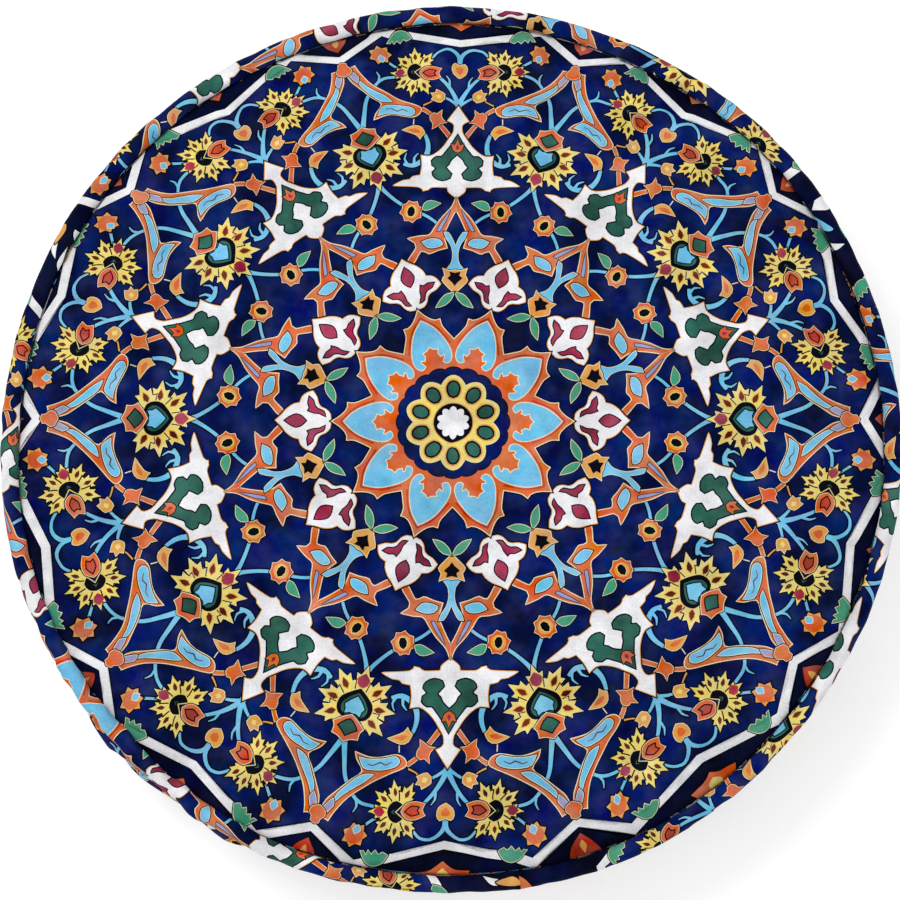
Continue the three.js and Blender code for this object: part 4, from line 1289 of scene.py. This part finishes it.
def piping(name, z0, turn, phase, seed_shift, with_top):
    total = 2 * math.pi * R_PIPE / PX
    width = 2 * SPAN * PIPE_T / PX
    # three bias strips, joined end to end; each is a chord of the cloth at its own distance from the medallion's middle
    cuts = []
    for share, ang, off in ((0.32, 0.80, -150.0), (0.36, 0.62, 40.0), (0.32, 2.36, 205.0)):
        half = share * total / 2
        mid = (-math.sin(ang) * off, math.cos(ang) * off)
        cuts.append(((mid[0] - math.cos(ang) * half, mid[1] - math.sin(ang) * half), ang, share))
    P, F, C, U = [], [], [], []
    at = 0.0
    for start, ang, share in cuts:
        length = share * total
        polys, cols = cut_strip(start, ang, length, width, width / 18, 4.5)
        pts, faces, cols = weld(polys, cols)
        n0 = sum(len(p) for p in P)
        c, s = math.cos(ang), math.sin(ang)
        U.append(np.stack([start[0] + pts[:, 0] * c - pts[:, 1] * s, start[1] + pts[:, 0] * s + pts[:, 1] * c], 1) * PX)
        P.append(pts + np.array([at, 0.0]))
        F += [[i + n0 for i in f] for f in faces]
        C += cols
        at += length
    pts = np.concatenate(P)
    joins = [cuts[0][2] * total, (cuts[0][2] + cuts[1][2]) * total, 0.0, total]

    def place(u, v):
        a = turn + u / total * tau
        phi = (v / width * 2 - 1) * SPAN  # from under, round the outside, to over
        rad = PIPE_T - 0.0004
        rad = rad * (1 + 0.035 * WELT_C(a + seed_shift, 2))
        # diagonal drag lines, because the casing is cut on the bias, and a few deeper tucks
        lean = a + phi * 0.022
        b = WELT_B(lean + seed_shift, 70)
        rough_part = 1 + (1.2 * around(a, 226, 24) + 0.8 * around(a, 310, 12) + 0.6 * around(a, 180, 10) if with_top else 0)
        rad = rad + (0.00026 * b + 0.00024 * WELT_A(lean + 2 * seed_shift, 25)) * rough_part
        rad = rad - 0.0008 * np.clip(b - 1.25, 0, 1) * rough_part
        for j in joins:
            rad = rad + 0.0006 * np.exp(-(((u - j) * PX + 0.004 * np.sin(phi)) / 0.0035) ** 2)
        di, up = pipe_line(a, with_top)
        rr = R_PIPE + di + rad * np.cos(phi)
        z = z0 + up + rad * np.sin(phi)
        # behind its outermost line the casing runs in to the seam
        return np.stack([rr * np.cos(a), rr * np.sin(a), z], -1)

    pos = place(pts[:, 0], pts[:, 1])
    nor = normals_of(place, pts[:, 0], pts[:, 1], 0.8, 0.5, False)
    return make_mesh(name, pos, F, nor, C, {"cloth": np.concatenate(U)}, PRINTED)


pipe_top = piping("upper_piping_casing_printed", Z_TOP, 0.6, 0.0, 0.0, True)
pipe_low = piping("lower_piping_casing_printed", Z_LOW, 3.3, 0.0, 1.3, False)

for ob, node in (
    (top, "top_panel"), (base, "bottom_panel"), (band, "boxing_band"), (gus_up, "zip_gusset_upper"),
    (gus_dn, "zip_gusset_lower"), (pipe_top, "top_piping_casing"), (pipe_low, "bottom_piping_casing"),
):
    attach(ob, "cushion")
    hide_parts(node)


# ------------------------------------------------------------------ cords inside the pipings: three twisted strands
def twisted_cord(name, z0, node, upper):
    n, sides, turns = 560, 7, 70
    pts, faces = [], []
    R = 4.6 * MM
    strand = R * 0.54
    for k in range(3):
        b0 = len(pts)
        for i in range(n):
            a = tau * i / n
            tw = a * turns + tau * k / 3
            di, up = pipe_line(a, upper)
            cr, cz = R_PIPE + di + (R - strand) * math.cos(tw), z0 + up + (R - strand) * math.sin(tw)
            for j in range(sides):
                q = tau * j / sides + a * 40
                rr, zz = cr + strand * math.cos(q), cz + strand * math.sin(q)
                pts.append((rr * math.cos(a), rr * math.sin(a), zz))
        for i in range(n):
            for j in range(sides):
                shift = 0
                if i == n - 1:
                    # the strand meets itself after a whole number of turns
                    shift = 0
                a0 = b0 + i * sides
                a1 = b0 + ((i + 1) % n) * sides
                faces.append((a0 + j, a1 + (j + shift) % sides, a1 + (j + 1 + shift) % sides, a0 + (j + 1) % sides))
    ob = make_mesh(name, pts, faces, material=CORD)
    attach(ob, "cushion")
    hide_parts(node)
    return ob


twisted_cord("upper_cord_twisted", Z_TOP, "top_piping_cord", True)
twisted_cord("lower_cord_twisted", Z_LOW, "bottom_piping_cord", False)


# ------------------------------------------------------------------ the pad: calico case and fibre
def lathe(name, profile, material, node, wobble, seed, around=120, cap=False, step=0.006, double=None):
    """A turned skin with soft unevenness. double gives it a second, inner face, so that it is a real thickness of cloth."""
    line = []
    for (r0, z0), (r1, z1) in zip(profile, profile[1:]):
        k = max(1, int(round(math.hypot(r1 - r0, z1 - z0) / step)))
        line += [(r0 + (r1 - r0) * i / k, z0 + (z1 - z0) * i / k) for i in range(k)]
    line.append(profile[-1])
    w1, w2 = value_noise(seed, 24), value_noise(seed + 1, 60)
    pts, faces = [], []

    def ring(line, sign, offset):
        base_i = len(pts)
        for i, (r, z) in enumerate(line):
            a = np.arange(around) * tau / around
            amp = wobble * min(1.0, r / 0.12)
            d = amp * (0.7 * w1(a + i * 0.045, 3) + 0.4 * w2(a - i * 0.03, 20)) - abs(amp) * 1.2 - offset
            p, q = line[max(0, i - 1)], line[min(len(line) - 1, i + 1)]
            t = Vector((q[0] - p[0], q[1] - p[1]))
            t = t.normalized() if t.length else Vector((1, 0))
            nr, nz = (-t.y, t.x) if sign > 0 else (t.y, -t.x)
            rr, zz = r + nr * d, z + nz * d
            if r < 1e-6:
                rr, zz = np.zeros(around) + 1e-5, np.full(around, z - offset * (1 if nz > 0 else -1))
            pts.extend(zip(rr * np.cos(a), rr * np.sin(a), np.broadcast_to(zz, (around,))))
        for i in range(len(line) - 1):
            for j in range(around):
                f = (base_i + i * around + j, base_i + i * around + (j + 1) % around, base_i + (i + 1) * around + (j + 1) % around, base_i + (i + 1) * around + j)
                faces.append(f if sign < 0 else f[::-1])
        return base_i

    ring(line, 1, 0.0)
    ob = make_mesh(name, pts, faces, material=material)
    me = ob.data
    bm = bmesh.new()
    bm.from_mesh(me)
    bmesh.ops.remove_doubles(bm, verts=bm.verts, dist=3e-5)
    bmesh.ops.recalc_face_normals(bm, faces=bm.faces)
    bm.to_mesh(me)
    bm.free()
    if double:
        mod = ob.modifiers.new("thick", "SOLIDIFY")
        mod.thickness = double
        mod.offset = -1
        bpy.context.view_layer.objects.active = ob
        bpy.ops.object.modifier_apply(modifier=mod.name)
    ob.data.polygons.foreach_set("use_smooth", [True] * len(ob.data.polygons))
    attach(ob, "cushion")
    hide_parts(node)
    return ob


m = lambda pts: [(r * MM, z * MM) for r, z in pts]
PAD_TOP = m([(0, 140.5), (120, 136.5), (200, 129.0), (244, 122.4), (264, 117.0), (272.0, 112.2)])
PAD_SIDE = m([(273.2, 108.6), (281, 100.0), (284.6, 84), (284.6, 44), (281, 28), (273.4, 19.8)])
PAD_BASE = m([(272, 15.6), (266, 8.4), (249, 3.4), (0, 2.6)])
lathe("case_top_calico", PAD_TOP, CALICO, "inner_case_top", 0.0004, 61, double=0.0006)
lathe("case_side_calico", PAD_SIDE, CALICO, "inner_case_side", 0.0006, 63, double=0.0006)
lathe("case_base_calico", PAD_BASE, CALICO, "inner_case_base", 0.0003, 65, double=0.0006)
shrink = lambda pts: [(max(0.0, r - (2.2 * MM if r > 0.2 else 0)), z + (0.066 - z) / 0.075 * 2.4 * MM) for r, z in pts]
fill = lathe("filling_loose_fibre", shrink(PAD_TOP + PAD_SIDE + PAD_BASE), FIBRE, "fibre_filling", 0.0010, 67, around=140)


# ------------------------------------------------------------------ the zip
def arc_strip(name, r0, r1, z0, z1, a0, a1, n, material, node, sag=0.0):
    """A flat band that follows the box side, with rounded long edges."""
    pts, faces = [], []
    rr, zz = (r1 - r0) / 2, (z1 - z0) / 2
    cr, cz = (r0 + r1) / 2, (z0 + z1) / 2
    ring = []
    for sx, sz in ((1, -1), (1, 1), (-1, 1), (-1, -1)):
        base_a = {(1, -1): -90, (1, 1): 0, (-1, 1): 90, (-1, -1): 180}[(sx, sz)]
        for k in range(4):
            q = math.radians(base_a + 30 * k)
            b = min(rr, zz) * 0.95
            ring.append((cr + sx * (rr - b) + b * math.cos(q), cz + sz * (zz - b) + b * math.sin(q)))
    mid = []
    for k, (r, z) in enumerate(ring):
        mid.append((r, z))
        if k == 3 or k == 11:  # the long faces get rows of points between
            r2, z2 = ring[(k + 1) % 16]
            mid += [(r + (r2 - r) * t / 4, z + (z2 - z) * t / 4) for t in (1, 2, 3)]
    ring = mid
    s = len(ring)
    wob = value_noise(int(z0 * 1e5) % 97 + 5, 30)
    for i in range(n + 1):
        a = a0 + (a1 - a0) * i / n
        w = float(wob(a * 3, 8)) * sag
        for r, z in ring:
            pts.append(((r + w) * math.cos(a), (r + w) * math.sin(a), z))
    for i in range(n):
        for j in range(s):
            faces.append((i * s + j, i * s + (j + 1) % s, (i + 1) * s + (j + 1) % s, (i + 1) * s + j))
    faces.append(tuple(range(s))[::-1])
    faces.append(tuple(n * s + j for j in range(s)))
    ob = make_mesh(name, pts, faces, material=material)
    bm = bmesh.new()
    bm.from_mesh(ob.data)
    bmesh.ops.recalc_face_normals(bm, faces=bm.faces)
    bm.to_mesh(ob.data)
    bm.free()
    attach(ob, "cushion")
    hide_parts(node)
    return ob


rad = math.radians
for side, s in (("upper", 1), ("lower", -1)):
    lo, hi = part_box("zip_tape_" + side)
    z0, z1 = lo.z, hi.z
    arc_strip(f"tape_{side}_woven", 0.29235, 0.2927, z0, z1, rad(27.96), rad(152.04), 240, TAPE, "zip_tape_" + side)
    # the coil: loops of one nylon filament
    pts, faces = [], []
    loops, per, sides_n = 360, 10, 5
    a0, a1 = rad(32.2), rad(148.2)
    n = loops * per
    rr, rz = 0.80 * MM, 1.22 * MM
    cr, cz = 0.2942, Z_ZIP + s * 1.78 * MM
    for i in range(n + 1):
        q = tau * i / per + (0 if s > 0 else math.pi)
        a = a0 + (a1 - a0) * i / n
        c = math.cos(q)
        # each loop is a flattened eye whose head, by the centre line, is a little thicker
        head = 1 + 0.25 * max(0.0, -c)
        pr_, pz_ = cr + rr * math.sin(q), cz + s * rz * c * 1.0
        for j in range(sides_n):
            t = tau * j / sides_n
            f = 0.29 * MM * head
            er = pr_ + f * math.sin(q) * math.cos(t)
            ez = pz_ + s * f * c * math.cos(t)
            ea = a + f * math.sin(t) / cr
            pts.append((er * math.cos(ea), er * math.sin(ea), ez))
    for i in range(n):
        for j in range(sides_n):
            faces.append((i * sides_n + j, i * sides_n + (j + 1) % sides_n, (i + 1) * sides_n + (j + 1) % sides_n, (i + 1) * sides_n + j))
    faces.append(tuple(range(sides_n)))
    faces.append(tuple(n * sides_n + j for j in range(sides_n))[::-1])
    coil = make_mesh(f"coil_{side}_nylon", pts, faces, material=COIL)
    bm = bmesh.new()
    bm.from_mesh(coil.data)
    bmesh.ops.recalc_face_normals(bm, faces=bm.faces)
    bm.to_mesh(coil.data)
    bm.free()
    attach(coil, "cushion")
    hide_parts("zip_coil_" + side)


def finished(node, name, width, body):
    """A metal piece: the CAD form with its edges rolled."""
    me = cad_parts[node].data.copy()
    me.materials.clear()
    ob = bpy.data.objects.new(name, me)
    bpy.context.scene.collection.objects.link(ob)
    bm = bmesh.new()
    bm.from_mesh(me)
    bmesh.ops.remove_doubles(bm, verts=bm.verts, dist=2e-6)
    bmesh.ops.dissolve_limit(bm, angle_limit=rad(1.0), verts=bm.verts, edges=bm.edges)
    bm.to_mesh(me)
    bm.free()
    me.materials.append(NICKEL)
    mod = ob.modifiers.new("edge", "BEVEL")
    mod.width = width
    mod.segments = 2
    mod.limit_method = "ANGLE"
    mod.angle_limit = rad(35)
    bpy.context.view_layer.objects.active = ob
    bpy.ops.object.modifier_apply(modifier=mod.name)
    me = ob.data
    me.polygons.foreach_set("use_smooth", [True] * len(me.polygons))
    me.set_sharp_from_angle(angle=rad(40))
    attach(ob, body)
    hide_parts(node)
    return ob


finished("zip_slider", "slider_cast", 0.00022, "slider")
finished("zip_pull_tab", "pull_tab_pressed", 0.0003, "pull_tab")
for node in ("zip_top_stop_upper", "zip_top_stop_lower", "zip_bottom_stop"):
    finished(node, node.replace("zip_", "") + "_crimped", 0.0003, "cushion")


# ------------------------------------------------------------------ stitches that show: two rows beside the zip
def stitches(name, runs):
    pts, faces = [], []
    sides_n, steps = 5, 5
    for path in runs:
        # path(t) gives a point and an outward direction for t from 0 to 1 along one stitch
        ring0 = len(pts)
        for i in range(steps + 1):
            t = i / steps
            p, out, along = path(t)
            side = out.cross(along).normalized()
            thick = 0.00026 * (0.35 + 0.65 * math.sin(math.pi * min(1, max(0, t))) ** 0.5)
            lift = 0.00018 * math.sin(math.pi * t)
            for j in range(sides_n):
                q = tau * j / sides_n
                w = p + out * (lift + thick * math.cos(q)) + side * thick * math.sin(q)
                pts.append(tuple(w))
        for i in range(steps):
            for j in range(sides_n):
                faces.append((ring0 + i * sides_n + j, ring0 + i * sides_n + (j + 1) % sides_n, ring0 + (i + 1) * sides_n + (j + 1) % sides_n, ring0 + (i + 1) * sides_n + j))
        faces.append(tuple(ring0 + j for j in range(sides_n))[::-1])
        faces.append(tuple(ring0 + steps * sides_n + j for j in range(sides_n)))
    ob = make_mesh(name, pts, faces, material=THREAD)
    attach(ob, "cushion")
    return ob


def row_beside_zip(z):
    out = []
    pitch, length = 0.0034, 0.0027
    a = GUSSET[0] + 0.012
    w = (Z_TOP - z) / SIDE_LEN
    while a < GUSSET[1] - 0.012:
        def path(t, a=a):
            ang = a + t * length / R_BAND
            p = side_point(np.array([ang]), np.array([w]), np.array([1.0]))[0]
            o = Vector((math.cos(ang), math.sin(ang), 0))
            return Vector(p) + o * 0.0001, o, Vector((-math.sin(ang), math.cos(ang), 0))
        out.append(path)
        a += pitch / R_BAND
    return out


stitches("stitches_above_zip", row_beside_zip(Z_ZIP + 0.0088))
stitches("stitches_below_zip", row_beside_zip(Z_ZIP - 0.0088))

# ------------------------------------------------------------------ floor, light, camera
floor_me = bpy.data.meshes.new("floor")
S = 6.0
floor_me.from_pydata([(-S, -S, 0), (S, -S, 0), (S, S, 0), (-S, S, 0)], [], [(0, 1, 2, 3)])
floor = bpy.data.objects.new("floor", floor_me)
bpy.context.scene.collection.objects.link(floor)
n = Nodes("floor_paper")
obj = n.add("ShaderNodeTexCoord").outputs["Object"]
cloud = n.noise(obj, 2.0, 3.0, 0.5)
n.link(n.mix("MULTIPLY", 1.0, (0.93, 0.93, 0.935, 1), n.grey(n.ramp(cloud.outputs[0], 0.3, 0.7, 0.985, 1.0))), n.bsdf.inputs["Base Color"])
n.link(n.ramp(cloud.outputs[0], 0.3, 0.7, 0.85, 0.95), n.bsdf.inputs["Roughness"])
n.bsdf.inputs["Specular IOR Level"].default_value = 0.1
n.bsdf.inputs["Emission Color"].default_value = (1, 1, 1, 1)
n.bsdf.inputs["Emission Strength"].default_value = 0.26
floor_me.materials.append(n.mat)


def area_light(name, where, aim, size, power, colour=(1, 1, 1)):
    d = bpy.data.lights.new(name, "AREA")
    d.shape = "DISK"
    d.size = size
    d.energy = power
    d.color = colour
    o = bpy.data.objects.new(name, d)
    o.location = where
    o.rotation_euler = (Vector(aim) - Vector(where)).to_track_quat("-Z", "Y").to_euler()
    bpy.context.scene.collection.objects.link(o)
    return o


area_light("key", (-1.1, 1.2, 2.6), (0, 0, 0.1), 1.5, 38, (1.0, 0.99, 0.97))
area_light("fill", (1.5, -1.3, 2.2), (0, 0, 0.1), 2.4, 13, (0.97, 0.98, 1.0))
world = bpy.data.worlds.new("studio")
bpy.context.scene.world = world
world.use_nodes = True
world.node_tree.nodes["Background"].inputs[0].default_value = (1, 1, 1, 1)
world.node_tree.nodes["Background"].inputs[1].default_value = 0.74
# the room beyond the floor's edge looks as white as the floor itself
wt = world.node_tree
seen = wt.nodes.new("ShaderNodeBackground")
seen.inputs[0].default_value = (1, 1, 1, 1)
seen.inputs[1].default_value = 0.99
either = wt.nodes.new("ShaderNodeMixShader")
wt.links.new(wt.nodes.new("ShaderNodeLightPath").outputs["Is Camera Ray"], either.inputs[0])
wt.links.new(wt.nodes["Background"].outputs[0], either.inputs[1])
wt.links.new(seen.outputs[0], either.inputs[2])
wt.links.new(either.outputs[0], wt.nodes["World Output"].inputs["Surface"])

cam_data = bpy.data.cameras.new("camera")
cam = bpy.data.objects.new("camera", cam_data)
bpy.context.scene.collection.objects.link(cam)
DIST, ELEV = 2.3, math.radians(88.2)
aim = Vector((0, 0.0, Z_TOP))
cam.location = aim + Vector((0, -math.cos(ELEV) * DIST, math.sin(ELEV) * DIST))
cam.rotation_euler = (aim - cam.location).to_track_quat("-Z", "Y").to_euler()
cam_data.sensor_width = 36
cam_data.lens = 18 * DIST / 0.3022
cam_data.clip_end = 50
bpy.context.scene.camera = cam
bpy.context.scene.view_settings.view_transform = "Standard"
bpy.context.scene.view_settings.look = "None"
